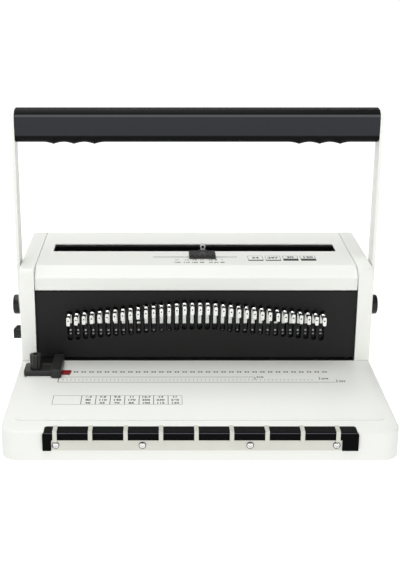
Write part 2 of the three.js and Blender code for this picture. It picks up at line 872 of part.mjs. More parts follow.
function handleArm() {
  const top = gripTop - armTopGap - pivotHeight;
  const shape = new THREE.Shape();
  shape.absarc(0, 0, armFootRadius, -Math.PI, 0);
  shape.lineTo(armWidth / 2, armWaistHeight);
  shape.absarc(armTopWidth / 2 - armTopCorner, top - armTopCorner, armTopCorner, 0, Math.PI / 2);
  shape.absarc(armTopCorner - armTopWidth / 2, top - armTopCorner, armTopCorner, Math.PI / 2, Math.PI);
  shape.lineTo(-armWidth / 2, armWaistHeight);
  const widths = [armInner - cutOverrun, armOuter + cutOverrun];
  return cut(
    alongX(shape, armInner, armOuter),
    rodX(shaftRadius + seatGap, ...widths, 0, 0),
    ...screwLevels.map((z) => rodX(armScrewShankRadius + screwPlay, ...widths, 0, z)));
}

function gripSection(grow) {
  const depths = around(0, gripDepth / 2 + grow);
  return evenRect(depths, around(gripLevel, gripHeight / 2 + grow), gripCorner + grow);
}

// A finger ridge seen from the front: two hollow flanks that meet in a cusp below the grip
function ridgeOutline(x) {
  const under = gripLevel - gripHeight / 2;
  const shares = [-1, -0.7, -0.4, -0.2, 0, 0.2, 0.4, 0.7, 1];
  const flank = shares.map((share) => (
    [x + gripRidgeHalf * share, under - gripRidgeDepth * (1 - Math.abs(share)) ** 2]));
  return polygon([...flank, [x + gripRidgeHalf, under + seatGap], [x, under + 2 * gripRidgeDepth],
    [x - gripRidgeHalf, under + seatGap]]);
}

function handleGrip() {
  const half = armInner - seatGap;
  const places = gripRidgePlaces.flatMap((x) => [-x, x]);
  const fins = places.map((x) => alongY(ridgeOutline(x), ...around(0, gripDepth)));
  const allFins = fins.reduce((sum, fin) => sum.add(toSolid(fin)), toSolid(fins[0]));
  const grown = toSolid(alongX(gripSection(gripRidgeDepth), -half, half));
  const body = toSolid(alongX(gripSection(0), -half, half)).add(allFins.intersect(grown));
  const bore = rodX(gripTubeRadius + seatGap, -half - cutOverrun, half + cutOverrun, 0, gripLevel);
  const screwHoles = [-1, 1].flatMap((side) => screwLevels.map((z) => rodX(
    armScrewShankRadius + screwPlay, ...onSide(side, half - armScrewReach, half + cutOverrun), 0, z)));
  return cut(toGeometry(body), bore, ...screwHoles);
}

function armScrew() {
  const seat = armOuter + seatGap;
  return join(
    domedDisc(armScrewHeadRadius, armScrewHeadHeight / 2, seat, seat + armScrewHeadHeight),
    rodX(armScrewShankRadius, armInner - armScrewReach + 2 * seatGap, seat + armScrewHeadHeight / 2, 0, 0));
}

// A crank with a pin towards the middle for the pressure bar and one outwards for the closing bar
function driveCrank() {
  const outer = crankOuter;
  const across = [Math.sin(crankSwing) * crankBossRadius, Math.cos(crankSwing) * crankBossRadius];
  const [pinY, pinZ] = punchPinPlace;
  const neck = polygon([
    [-across[0], -across[1]], [across[0], across[1]],
    [pinY + across[0], pinZ + across[1]], [pinY - across[0], pinZ - across[1]],
  ]);
  const closerBoss = closerPinRadius + 2 * closerPlay;
  const plate = join(
    rodX(crankHubRadius, crankInner, outer, 0, 0, fineSides),
    alongX(neck, crankInner, outer),
    rodX(crankBossRadius, crankInner, outer, ...punchPinPlace),
    rodX(closerBoss, crankInner, outer, ...closerPinPlace));
  const middle = crankInner + crankThickness / 2;
  const pins = [
    rodX(punchPinRadius, pressureHalf - yokeWidth + seatGap, middle, ...punchPinPlace),
    rodX(closerPinRadius, middle, outer + runningGap + closerArmThickness, ...closerPinPlace),
  ];
  const bore = rodX(shaftRadius + seatGap, crankInner - cutOverrun, outer + cutOverrun, 0, 0);
  return cut(join(plate, ...pins), bore);
}

// The closing bar lies behind the slot's room; its arms pass below the trough's floor to the cranks
function closingBar() {
  const inner = closerInner;
  const outer = closerOuter;
  const rear = closerBarFront + closerBarThickness;
  const forkMid = pivotDepth + closerPinPlace[0];
  const rodBottom = closerArmTop - closerRodHeight;
  const reach = closerPinRadius + closerPlay;
  const pieces = [block(around(0, outer), [closerBarFront, rear], [closerBarBottom, closerTop])];
  const slots = [];
  for (const side of [-1, 1]) {
    const width = onSide(side, inner, outer);
    pieces.push(
      block(width, [forkMid, rear], [rodBottom, closerArmTop]),
      block(width, around(forkMid, closerForkHalf), [closerArmBottom, closerArmTop]),
      block(width, [closerBarFront, rear], [rodBottom, closerTop]));
    slots.push(block(
      onSide(side, inner - seatGap, outer + seatGap), around(forkMid, reach),
      [closerArmBottom - cutOverrun, pivotHeight + closerCrankRadius + reach]));
  }
  return cut(join(...pieces), ...slots);
}

function selectorSlider() {
  const half = selectorWidth / 2;
  const low = topSurface + seatGap;
  const rear = selectorFront + selectorDepth;
  const ribTop = low + selectorHeight;
  const bodyTop = ribTop - selectorRibHeight;
  const pitch = selectorWidth / selectorRibs;
  const ribHeights = [bodyTop - selectorRibHeight, ribTop];
  const ribs = Array.from({ length: selectorRibs }, (_, index) => (
    block(around((index + 0.5) * pitch - half, pitch / 4), [selectorFront, rear], ribHeights)));
  return join(
    block(around(0, half), [selectorFront, rear], [low, bodyTop]),
    block(around(selectorPostX, selectorTongue / 2),
      [rear - cutOverrun, selectorPostDepth + selectorPostRadius], [low, low + selectorBaseHeight]),
    block(around(0, selectorFootWidth / 2), around(grooveDepth, selectorFootDepth / 2),
      [topSurface - sheetWall - seatGap, low + selectorBaseHeight]),
    ...ribs);
}

// An upright eye that faces the front, drawn from its foot
function selectorPost() {
  const half = selectorPostRadius;
  const middle = selectorPostHeight - half;
  const depths = around(0, selectorPostThickness / 2);
  return cut(
    join(
      rodY(half, ...depths, 0, middle, fineSides),
      block(around(0, half - seatGap), depths, [0, middle])),
    rodY(selectorEyeRadius, depths[0] - cutOverrun, depths[0] + selectorEyeDepth, 0, middle));
}

// A stepped wedge under the cover: each step is the stop for one size of wire
function sizeWedge() {
  const high = closerTop;
  const front = grooveDepth - wedgeDepth / 2;
  const left = (-wedgeSteps * wedgeStepWidth) / 2;
  const points = [[-left, front], [left, front]];
  for (let step = 0; step < wedgeSteps; step += 1) {
    const rear = front + wedgeDepth + step * wedgeStep;
    points.push([left + step * wedgeStepWidth, rear], [left + (step + 1) * wedgeStepWidth, rear]);
  }
  return alongZ(polygon(points), high - wedgeHeight, high);
}

const guideLow = plateauTop + seatGap;

function softBlock([x0, x1], [y0, y1], low, high) {
  const edge = blockRound;
  const outline = evenRect([x0 + edge, x1 - edge], [y0 + edge, y1 - edge], blockCorner - edge);
  return softExtrude(outline, high - low, edge).translate(0, 0, low);
}

// A low block for the knob, and the taller fence that the sheets' edge meets
function edgeGuide() {
  const high = guideLow + guideBlockHeight;
  const hole = rodZ(
    guideKnobStemRadius + seatGap, high - stemDepth - seatGap, high + cutOverrun,
    -guideKnobX, guideKnobDepth);
  const inside = -guideFenceLeft + blockCorner;
  const ribWidths = [guideKnobRadius + blockRound - guideKnobX, inside];
  return cut(join(
    softBlock([-guideBlockLeft, inside], [guideBlockFront, guideBlockRear], guideLow, high),
    softBlock(
      [-guideFenceLeft, -guideBlockRight], [guideFenceFront, guideFenceRear],
      guideLow, guideLow + guideFenceHeight),
    block(ribWidths, [guideRibFront, guideRibRear], [high - blockRound, high + guideRibHeight])), hole);
}

function guidePointer() {
  const left = -guideBlockRight + seatGap;
  const right = -guideBlockRight + pointerReach;
  const shape = polygon([
    [left, pointerFront], [right - pointerSkew, pointerFront], [right, pointerRear], [left, pointerRear],
  ]);
  return alongZ(shape, guideLow, guideLow + pointerThickness);
}

function guideKnob() {
  const low = guideLow + guideBlockHeight + seatGap;
  const steps = 4 * guideKnobFlutes;
  const outline = polygon(Array.from({ length: steps }, (_, index) => {
    const angle = (2 * Math.PI * index) / steps;
    const radius = guideKnobRadius - guideKnobFluteRadius * (0.5 - 0.5 * Math.cos(guideKnobFlutes * angle));
    return [radius * Math.cos(angle), radius * Math.sin(angle)];
  }));
  const dimple = rodZ(guideKnobDimpleRadius, guideKnobTop - guideKnobDimple, guideKnobTop + cutOverrun, 0, 0);
  return cut(join(
    alongZ(outline, low, guideKnobTop),
    rodZ(guideKnobStemRadius, low - seatGap - stemDepth, low + stemDepth, 0, 0)), dimple);
}

// The margin knob is drawn about its own axis: a round base with an upright wing, cut off at the top
function marginKnob() {
  const inner = -coverOuterHalf - runningGap;
  const reach = marginKnobRadius;
  const wing = polygon([
    [inner - knobBaseThickness / 2, -reach], [-marginKnobReach, -reach],
    [-marginKnobReach, reach - knobChamfer], [knobChamfer - marginKnobReach, reach],
    [inner - knobBaseThickness / 2, reach],
  ]);
  const boreStart = knobChamfer + knobRoof - marginKnobReach;
  const bore = rodX(marginShaftRadius + seatGap, boreStart, inner + cutOverrun, 0, 0);
  return cut(join(
    rodX(reach, inner - knobBaseThickness, inner, 0, 0, fineSides),
    rodX(marginShaftRadius + knobRoof, -marginKnobReach + knobChamfer, inner, 0, 0, fineSides),
    alongY(wing, ...around(0, knobWing / 2))), bore);
}

function marginShaft() {
  const end = -marginShaftEnd - eccentricPlay;
  return join(
    rodX(marginShaftRadius, knobChamfer + knobRoof + seatGap - marginKnobReach, -marginShaftEnd, 0, 0),
    rodX(eccentricRadius, end - eccentricWidth, end, 0, eccentricThrow, fineSides));
}

// The bar that the sheets' edge meets, with the window that rides on the eccentric
function depthStop() {
  const heights = [guideLow, guideLow + stopBarHeight];
  const armOuterEnd = stopArmInner + eccentricWidth + 2 * eccentricPlay;
  const roomDepths = around(marginDepth, eccentricRadius + eccentricPlay);
  const tall = eccentricRadius + eccentricThrow + eccentricPlay;
  const arm = block(
    [-armOuterEnd, -stopArmInner], around(marginDepth, eccentricRadius + eccentricPlay + stopArmWall),
    [guideLow, marginHeight + tall + stopArmWall]);
  const room = block(
    [-armOuterEnd - cutOverrun, -stopArmInner + cutOverrun], roomDepths, around(marginHeight, tall));
  const depths = [stopFront, stopFront + stopThickness];
  const bar = block([-stopArmInner - stopThickness, pressureHalf], depths, heights);
  return join(cut(arm, room), bar);
}

const drawerLow = bottomPlateHigh + seatGap;

function chipDrawer() {
  const widths = [-drawerLeft, baseWidth / 2 - drawerFaceThickness - seatGap];
  const depths = [drawerFrontDepth, drawerRearDepth];
  const room = block(
    [widths[0] + drawerWall, widths[1] - drawerWall], [depths[0] + drawerWall, depths[1] - drawerWall],
    [drawerLow + drawerWall, drawerLow + drawerHeight + cutOverrun]);
  return cut(block(widths, depths, [drawerLow, drawerLow + drawerHeight]), room);
}

function drawerFront() {
  const face = baseWidth / 2;
  const depths = [drawerMouthDepths[0] + seatGap, drawerMouthDepths[1] - seatGap];
  const heights = [drawerLow, drawerMouthHeights[1] - seatGap];
  const middle = (drawerFrontDepth + drawerRearDepth) / 2;
  const high = heights[1];
  const root = face - drawerFaceThickness / 2;
  const tip = face + drawerLipReach;
  const lip = polygon([
    [root, high], [root, high - 2 * drawerLipReach], [tip, high - drawerLipReach], [tip, high],
  ]);
  return join(
    block([face - drawerFaceThickness, face], depths, heights),
    alongY(lip, ...around(middle, drawerLipReach * 4)));
}

// The rack: a black bar folded over the base's front edge, with a longer cap at each end
function wireRack() {
  const under = tableTop + seatGap;
  const top = under + rackTopThickness;
  const low = tableTop - rackDrop;
  const profile = polygon([
    [rackFaceFront, low], [rackFaceRear, low], [rackFaceRear, under], [rackTopDepth, under],
    [rackTopDepth, top], [rackFaceFront + rackNose, top], [rackFaceFront, top - rackNose],
  ]);
  const round = rackCapRound;
  const face = roundedRect([-rackHalf, rackHalf], [low - stripDrop, top], [rackNose, rackNose, round, round]);
  const planRadii = [0, 0, rackPlanRound, rackPlanRound];
  const plan = roundedRect([-rackHalf, rackHalf], [rackFaceFront, rackTopDepth], planRadii);
  const middle = block(
    [-stripLeft - seatGap, stripRight + seatGap], [rackFaceFront - cutOverrun, rackTopDepth],
    [low - stripDrop - cutOverrun, low]);
  const bar = join(
    alongX(profile, -rackHalf, rackHalf),
    block([-rackHalf, rackHalf], [rackFaceFront, rackFaceRear], [low - stripDrop, low + rackNose]));
  const trimmed = toSolid(bar)
    .intersect(toSolid(alongY(face, rackFaceFront - cutOverrun, rackTopDepth + cutOverrun, roundSteps)))
    .intersect(toSolid(alongZ(plan, low - stripDrop - cutOverrun, top + cutOverrun, roundSteps)));
  return cut(toGeometry(trimmed), middle);
}

// The steel strip below the bar with its fingers, which fold over the bar
function rackFingerStrip() {
  const high = tableTop - rackDrop - seatGap;
  const stripFace = rackFaceRear - stripThickness;
  const fingerRear = fingerFront + fingerThickness;
  const over = tableTop + 2 * seatGap + rackTopThickness;
  const finger = polygon([
    [fingerFront, high - fingerFoot], [stripFace + stripThickness / 2, high - fingerFoot],
    [stripFace + stripThickness / 2, high], [fingerRear, high], [fingerRear, over], [rackTopDepth, over],
    [rackTopDepth, over + fingerThickness], [fingerFront, over + fingerThickness],
  ]);
  const fingers = Array.from({ length: fingerCount }, (_, index) => {
    const x = firstFinger + index * fingerPitch;
    return alongX(finger, ...around(x, fingerWidth / 2));
  });
  const stripHeights = [high - stripDrop + seatGap, high];
  const strip = block([-stripLeft, stripRight], [stripFace, rackFaceRear], stripHeights);
  const holes = rackScrewPlaces.map((x) => (
    rodY(rackScrewShankRadius + screwPlay, stripFace - cutOverrun, cutOverrun, x, rackScrewHeight)));
  return cut(join(strip, ...fingers), ...holes);
}

function rackScrew() {
  const seat = rackFaceRear - stripThickness - seatGap;
  return join(
    rodY(rackScrewHeadRadius, seat - rackScrewHeadHeight, seat, 0, 0),
    rodY(rackScrewShankRadius, seat - rackScrewHeadHeight / 2, seat + rackScrewLength, 0, 0));
}

// The whole machine, one group for each body that moves
const machine = new THREE.Group();
machine.position.y = -(machineFront + machineRear) / 2;

const shaftHole = [shaftRadius + shaftPlay, pivotDepth, pivotHeight];
const marginHole = [marginShaftRadius + shaftPlay, marginDepth, marginHeight];

addPart(machine, "base_tray", baseTray(), whitePaint);
addPart(machine, "bottom_plate", bottomPlate(), darkSteel);
for (const [name, x, y] of footPlaces) {
  addPart(machine, `foot_${name}`, foot(), rubber, [x, y, 0]);
}
addPart(machine, "left_side_cover", mirrored(sideCover([shaftHole, marginHole])), whitePaint);
addPart(machine, "right_side_cover", sideCover([shaftHole]), whitePaint);
addPart(machine, "top_cover", topCover(), whitePaint);
addPart(machine, "rear_cover", rearCover(), whitePaint);
addPart(machine, "front_panel", frontPanel(), blackPanel);
addPart(machine, "left_frame_plate", mirrored(framePlate([shaftHole, marginHole])), darkSteel);
addPart(machine, "right_frame_plate", framePlate([shaftHole]), darkSteel);
addPart(machine, "die_plate", punchSlab(dieHalf, [dieFront, dieRear], dieBottom, plateauTop), darkSteel);
addPart(machine, "pin_guide_plate", pinGuidePlate(), darkSteel);
const rodReach = framePlateInner - seatGap;
const tieRod = rodX(tieRodRadius, -rodReach, rodReach, 0, 0);
addPart(machine, "lower_tie_rod", tieRod, steel, [0, tieRodDepth, tieRodLow]);
addPart(machine, "upper_tie_rod", tieRod, steel, [0, tieRodDepth, tieRodHigh]);
const anvilDepths = [anvilFront, anvilFront + anvilThickness];
const anvil = block(around(0, rodReach), anvilDepths, [closerBarBottom, closerTop]);
addPart(machine, "closer_anvil", anvil, darkSteel);
const floorTop = closerBarBottom - seatGap;
const floorHeights = [floorTop - troughFloorThickness, floorTop];
const troughFloor = block(around(0, crankOuter), [anvilFront, troughFloorRear], floorHeights);
addPart(machine, "trough_floor", troughFloor, blackPanel);
for (const side of [-1, 1]) {
  const name = side > 0 ? "right_return_spring" : "left_return_spring";
  addPart(machine, name, returnSpring(), steel, [side * springHalf, pressureFront + springEarDepth / 2, 0]);
}

// The rack is drawn about the base's front face
const rack = new THREE.Group();
rack.position.y = tableFront;
machine.add(rack);
addPart(rack, "wire_rack", wireRack(), blackPlastic);
addPart(rack, "rack_finger_strip", rackFingerStrip(), steel);
rackScrewPlaces.forEach((x, index) => {
  addPart(rack, `rack_screw_${index + 1}`, rackScrew(), steel, [x, 0, rackScrewHeight]);
});

const punch = new THREE.Group();
machine.add(punch);
addPart(punch, "pressure_bar", pressureBar(), darkSteel);
addPart(punch, "punch_pins", punchPins(), steel);
addPart(punch, "pull_keys", pullKeyRow(), brightSteel);
for (const number of loosePins) {
  addPart(punch, `pull_key_${number}`, pullKey(), brightSteel, keyPlace(number));
}

const lever = new THREE.Group();
lever.position.set(0, pivotDepth, pivotHeight);
machine.add(lever);
addPart(lever, "left_handle_arm", mirrored(handleArm()), whitePaint);
addPart(lever, "right_handle_arm", handleArm(), whitePaint);
addPart(lever, "handle_grip", handleGrip(), blackGrip);
const tubeHalf = armInner - seatGap;
addPart(lever, "handle_tube", rodX(gripTubeRadius, -tubeHalf, tubeHalf, 0, gripLevel), steel);
screwLevels.forEach((z, index) => {
  const name = index > 0 ? "upper" : "lower";
  addPart(lever, `right_arm_screw_${name}`, armScrew(), steel, [0, 0, z]);
  addPart(lever, `left_arm_screw_${name}`, mirrored(armScrew()), steel, [0, 0, z]);
});
addPart(lever, "pivot_shaft", rodX(shaftRadius, -armOuter, armOuter, 0, 0, fineSides), steel);
const pivotCap = domedDisc(capRadius, capEdge, armOuter + seatGap, capReach);
addPart(lever, "right_pivot_cap", pivotCap, blackPlastic);
addPart(lever, "left_pivot_cap", mirrored(pivotCap), blackPlastic);
addPart(lever, "left_drive_crank", mirrored(driveCrank()), darkSteel);
addPart(lever, "right_drive_crank", driveCrank(), darkSteel);

const closer = new THREE.Group();
machine.add(closer);
addPart(closer, "closing_bar", closingBar(), darkSteel);

const selector = new THREE.Group();
selector.position.x = selectorMid;
machine.add(selector);
addPart(selector, "selector_slider", selectorSlider(), blackPlastic);
const postLow = topSurface + 2 * seatGap + selectorBaseHeight;
addPart(selector, "selector_post", selectorPost(), steel, [selectorPostX, selectorPostDepth, postLow]);
addPart(selector, "size_wedge", sizeWedge(), darkSteel);

const guide = new THREE.Group();
machine.add(guide);
addPart(guide, "edge_guide", edgeGuide(), blackPlastic);
addPart(guide, "guide_pointer", guidePointer(), redPlastic);
addPart(guide, "edge_guide_knob", guideKnob(), blackPlastic, [-guideKnobX, guideKnobDepth, 0]);

const margin = new THREE.Group();
margin.position.set(0, marginDepth, marginHeight);
machine.add(margin);
addPart(margin, "margin_knob", marginKnob(), blackPlastic);
addPart(margin, "margin_shaft", marginShaft(), steel);
addPart(machine, "depth_stop", depthStop(), steel);

const drawer = new THREE.Group();
machine.add(drawer);
addPart(drawer, "chip_drawer", chipDrawer(), blackPlastic);
addPart(drawer, "drawer_front", drawerFront(), whitePaint);

const part = new THREE.Group();
part.add(machine);

export default part;
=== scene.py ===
"""Finishes, fine pieces, printed marks, light and camera for a manual wire binding machine."""

import json
import math

import bmesh
import bpy
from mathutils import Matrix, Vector


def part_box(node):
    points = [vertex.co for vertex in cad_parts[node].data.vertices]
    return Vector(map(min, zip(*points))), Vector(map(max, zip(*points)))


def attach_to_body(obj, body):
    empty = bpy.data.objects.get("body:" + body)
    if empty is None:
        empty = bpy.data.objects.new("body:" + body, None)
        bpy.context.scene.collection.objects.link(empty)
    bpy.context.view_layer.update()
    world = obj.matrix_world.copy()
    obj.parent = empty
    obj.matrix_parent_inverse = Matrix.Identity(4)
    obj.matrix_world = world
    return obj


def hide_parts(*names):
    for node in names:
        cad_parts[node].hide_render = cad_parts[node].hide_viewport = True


MM = 0.001

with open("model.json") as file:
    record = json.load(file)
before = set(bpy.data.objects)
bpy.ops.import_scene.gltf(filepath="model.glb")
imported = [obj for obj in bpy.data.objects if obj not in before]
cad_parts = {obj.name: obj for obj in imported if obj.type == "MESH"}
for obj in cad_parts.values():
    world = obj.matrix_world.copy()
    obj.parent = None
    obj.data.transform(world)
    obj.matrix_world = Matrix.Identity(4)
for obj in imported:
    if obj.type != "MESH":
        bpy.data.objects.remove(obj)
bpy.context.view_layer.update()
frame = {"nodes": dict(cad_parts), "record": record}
record = frame["record"]
slot_of = {part["node"]: part["material_slot"] for part in record["subparts"]}
body_of = {node: body for body, nodes in record["behaviour"]["bodies"].items() for node in nodes}

# Places taken from the boxes of the solids
TRAY_LOW, TRAY_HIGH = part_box("base_tray")
FRONT = TRAY_LOW.y
TABLE_TOP = TRAY_HIGH.z
COVER_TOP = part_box("top_cover")[1].z

# Camera, as fitted to the photograph's frame
IMAGE_WIDTH = 400
IMAGE_HEIGHT = 570
FOCAL_PIXELS = 1105
PRINCIPAL_X = 165
CAMERA_X = -34.2 * MM
CAMERA_BACK = 966 * MM
CAMERA_HEIGHT = 500 * MM
CAMERA_PITCH = 18.2
SENSOR = 36

# Light and floor; the world fades along the Y and the Z of the direction
WORLD_FRONT = 1.9
WORLD_FRONT_Y = -0.8
WORLD_REAR = 0.05
WORLD_REAR_Y = 0.3
WORLD_HIGH_SHARE = 0.22
WORLD_FADE_LOW = 0.17
WORLD_FADE_HIGH = 0.45
LIGHT_AIM = (0, 0, 0.1)
FILL_PLACE = (-0.3, -0.1, 2.1)
FILL_SIZE = (2.2, 1.4)
FILL_POWER = 39
REAR_PLACE = (-0.2, 1.5, 1.6)
REAR_SIZE = (2.2, 0.8)
REAR_POWER = 16
FLOOR_HALF = 14
FLOOR_RIM = 1.2
FLOOR_TONE = 0.1
FLOOR_GLOW = 1.12

# Noise in the finishes
NOISE_LOW = 0.3
NOISE_HIGH = 0.7
PATCH_DETAIL = 3
GRAIN_DETAIL = 2

# Finer copies of nodes: width, segments and angle of their rounded edges
MERGE_DISTANCE = 0.001 * MM
FLAT_ANGLE = 0.5
REFINED = [
    (0.9 * MM, 3, 35, ["base_tray", "left_side_cover", "right_side_cover"]),
    (1.6 * MM, 3, 12, ["top_cover"]),
    (0.5 * MM, 2, 35, ["left_handle_arm", "right_handle_arm", "front_panel", "wire_rack",
                       "drawer_front", "edge_guide", "margin_knob"]),
    (0.3 * MM, 2, 35, ["left_pivot_cap", "right_pivot_cap", "selector_slider", "edge_guide_knob",
                       "guide_pointer", "selector_post", "rack_finger_strip", "pressure_bar",
                       "closing_bar", "closer_anvil", "rear_cover"]),
]

# Rounded edges and smooth shading of the new pieces
EDGE_SEGMENTS = 2
EDGE_ANGLE = 30
KEY_EDGE = 0.12 * MM
KEY_EDGE_ANGLE = 60
PIN_EDGE = 0.1 * MM
FITTING_EDGE = 0.2 * MM
ROUND_SMOOTH = 40
GRIP_SMOOTH = 24

# Punch row; depths are behind the base's front face
HOLE_PITCH = 8.467 * MM
HOLE_COUNT = 34
FIRST_HOLE = -HOLE_PITCH * (HOLE_COUNT - 1) / 2
STAGGER_RISE = 13 * MM
STAGGER_FLAT_SHARE = 0.09
LOOSE_KEYS = (17, 25, 29, 33)
SHORT_STRIPS = (10, 28)
PIN_DEPTH = 194 * MM
PIN_SIDE = 4 * MM
PIN_LOW = 37.3 * MM
PIN_TOP = 92 * MM
PIN_RAIL = 3 * MM
WEB_HEIGHT = 4 * MM
# Small pale steps on the pins are painted glints
GLINT_THICKNESS = 0.25 * MM
GLINT_HALF = 1.1 * MM
GLINT_HEIGHTS = [(65.6 * MM, 67.4 * MM), (61.7 * MM, 63 * MM)]
STRIP_FRONT = 187.8 * MM
STRIP_REAR = 189 * MM
STRIP_LOW = 75.8 * MM
SHORT_STRIP_HEIGHT = 2 * MM
SEAT_GAP = 0.3 * MM

# Pull keys; a knuckle's shares are of its half width and of its radius
KEY_WIDTH = 3.8 * MM
KEY_MID = 86 * MM
KEY_TAB_FRONT = 164 * MM
KEY_TAB_REAR = 165.2 * MM
KEY_TAB_HALF = 5 * MM
KEY_TAB_CORNER = 1 * MM
KEY_HOLE_RADIUS = 0.8 * MM
KEY_HOLE_LIFT = 0.9 * MM
KEY_RING_POINTS = 24
KEY_ARM = 1.6 * MM
KEY_REAR = 191.7 * MM
KNUCKLE_DEPTH = 176.5 * MM
KNUCKLE_LIFT = 3.3 * MM
KNUCKLE_RADIUS = 1.6 * MM
KNUCKLE_FOOT = 2.4 * MM
KNUCKLE_SHARES = [(-1, 0.62), (-0.86, 0.86), (-0.5, 0.97), (0, 1), (0.5, 0.97), (0.86, 0.86), (1, 0.62)]
KNUCKLE_SIDES = 14
KEY_RAIL_FRONT = 189.4 * MM
KEY_RAIL_REAR = 191.6 * MM
KEY_RAIL_HEIGHT = 2.5 * MM

# Grip
GRIP_LOW, GRIP_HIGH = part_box("handle_grip")
GRIP_HEIGHT = 36 * MM
GRIP_DEPTH = 24 * MM
GRIP_CORNER = 9 * MM
GRIP_CORNER_STEPS = 8
GRIP_END_EDGE = 0.5 * MM
# Painted light on the grip: a paler band for its lit face, and a painted highlight along the band's top
GRIP_PAINTED_LIGHT_COLOR = (0.03, 0.032, 0.036)
GRIP_BAND_LOW = 9.5 * MM
GRIP_BAND_HIGH = 5 * MM
GRIP_BAND_EDGE = 1.5 * MM
GRIP_PAINTED_HIGHLIGHT_COLOR = (0.085, 0.09, 0.098)
GRIP_PAINTED_HIGHLIGHT_HEIGHT = 3.4 * MM
RIDGE_PLACES = (110 * MM, 132 * MM, 154 * MM)
RIDGE_HALF = 11 * MM
RIDGE_DEPTH = 2.2 * MM
RIDGE_POWER = 1.7
RIDGE_SHARES = (0, 0.04, 0.1, 0.18, 0.28, 0.4, 0.55, 0.7, 0.85, 1)
RIDGE_FADE = 11 * MM

# Screws and the dark rings of painted shade round their heads; shares are of the head's radius or
# height
ROUND_SEGMENTS = 40
SCREW_RINGS = 9
HEAD_HEIGHT_SHARE = 0.45
DOME_SHARE = 0.7
DOME_POWER = 2.5
RECESS_ARM_SHARE = 0.17
RECESS_REACH_SHARE = 0.66
RECESS_DEPTH_SHARE = 0.55
SHADE_RING_REACH = 0.6 * MM
SHADE_RING_THICKNESS = 0.3 * MM

# Small fittings on the rack, the selector and the edge guide; the strip on the rack is a painted
# highlight
RACK_HIGHLIGHT_DROP = 1.3 * MM
RACK_HIGHLIGHT_HALF = 0.5 * MM
RACK_HIGHLIGHT_INSET = 1.5 * MM
SELECTOR_LIP_FRONT = 239 * MM
SELECTOR_LIP_HEIGHT = 1.5 * MM
EYE_RADIUS = 1.6 * MM
EYE_RAISE = 0.05 * MM
EYE_SIDES = 24
GUIDE_WING_FRONT = 160 * MM
GUIDE_WING_REAR = 178 * MM
GUIDE_WING_HEIGHT = 4.5 * MM
GUIDE_WING_LEFT = -172.5 * MM
GUIDE_WING_RIGHT = -156 * MM

# Printed marks on the table
INK_THICKNESS = 0.05 * MM
LINE_WIDTH = 0.4 * MM
RULER_LINE = 0.65 * MM
NUMBER_WEIGHT_SHARE = 0.035
MARK_ROW_DEPTH = 148.5 * MM
MARK_WIDTH = 3.4 * MM
MARK_DEPTH = 3.6 * MM
MARK_LINE = 1.3 * MM
RULER_REAR = 134 * MM
RULER_FRONT = 120 * MM
RULER_LEFT = -148 * MM
RULER_SHORT_LENGTH = 210 * MM
RULER_LETTER_LENGTH = 279.4 * MM
RULER_LENGTH = 297 * MM
TICK_LENGTH = 2.6 * MM
TICK_WIDTH = 0.8 * MM
TICK_DEPTH = 127 * MM
RULER_NUMBER = 5 * MM
RULER_NUMBER_GAP_SHARE = 1.2
CHART_LEFT = -149.5 * MM
CHART_RIGHT = -16.5 * MM
CHART_FRONT = 63 * MM
CHART_REAR = 85.5 * MM
CHART_HEADER = 29 * MM
CHART_NUMBER = 5.6 * MM
CHART_LINE = 0.7 * MM
CHART_ROWS = [
    ["40", "55", "70", "85", "100", "115", "130"],
    ["80", "110", "140", "170", "200", "230", "260"],
    ["6.4", "7.9", "9.5", "11", "12.7", "14", "16"],
]

# Printed marks on the top cover; a badge has a number and a bar of this depth
SCALE_PLACES = [-20.6 * MM, -10.2 * MM, -1.1 * MM, 7.3 * MM, 16.9 * MM, 23.1 * MM, 29.8 * MM]
SCALE_ROWS = [
    (222 * MM, ["16", "14", "13", "11", "10", "8", "6"]),
    (212.5 * MM, ["130", "115", "100", "85", "70", "55", "40"]),
]
SCALE_NUMBER = 5 * MM
BADGE_LEFT = 59.3 * MM
BADGE_WIDTH = 17 * MM
BADGE_STEP = 19.8 * MM
BADGE_FRONT = 219 * MM
BADGE_REAR = 238 * MM
BADGE_NUMBER = 8 * MM
BADGES = [("34", 3.5 * MM), ("297", 3.5 * MM), ("20", 8 * MM), ("120", 8 * MM)]


def link(piece):
    bpy.context.scene.collection.objects.link(piece)
    return piece


def smooth_by_angle(cells, angle):
    cells.normal_update()
    for face in cells.faces:
        face.smooth = True
    for edge in cells.edges:
        edge.smooth = edge.is_manifold and edge.calc_face_angle() < math.radians(angle)


def mesh_object(name, builder, *values, smooth=0):
    """A new object whose mesh is what the builder leaves in its bmesh, smooth below an angle."""
    mesh = bpy.data.meshes.new(name)
    cells = bmesh.new()
    builder(cells, *values)
    bmesh.ops.recalc_face_normals(cells, faces=cells.faces[:])
    if smooth:
        smooth_by_angle(cells, smooth)
    cells.to_mesh(mesh)
    cells.free()
    return link(bpy.data.objects.new(name, mesh))


def clamp(value, low, high):
    return max(low, min(high, value))


def around(middle, half):
    return middle - half, middle + half


def hole_x(number):
    return FIRST_HOLE + (number - 1) * HOLE_PITCH


def stagger(x):
    """How far the row's arch lifts a key at x."""
    share = (1 - abs(x / FIRST_HOLE)) / (1 - STAGGER_FLAT_SHARE)
    return STAGGER_RISE * clamp(share, 0, 1)


# Procedural finishes
def new_material(name, color, roughness, metallic, specular):
    material = bpy.data.materials.new(name)
    material.use_nodes = True
    shader = material.node_tree.nodes["Principled BSDF"]
    shader.inputs["Base Color"].default_value = (*color, 1)
    shader.inputs["Roughness"].default_value = roughness
    shader.inputs["Metallic"].default_value = metallic
    shader.inputs["Specular IOR Level"].default_value = specular
    return material, shader


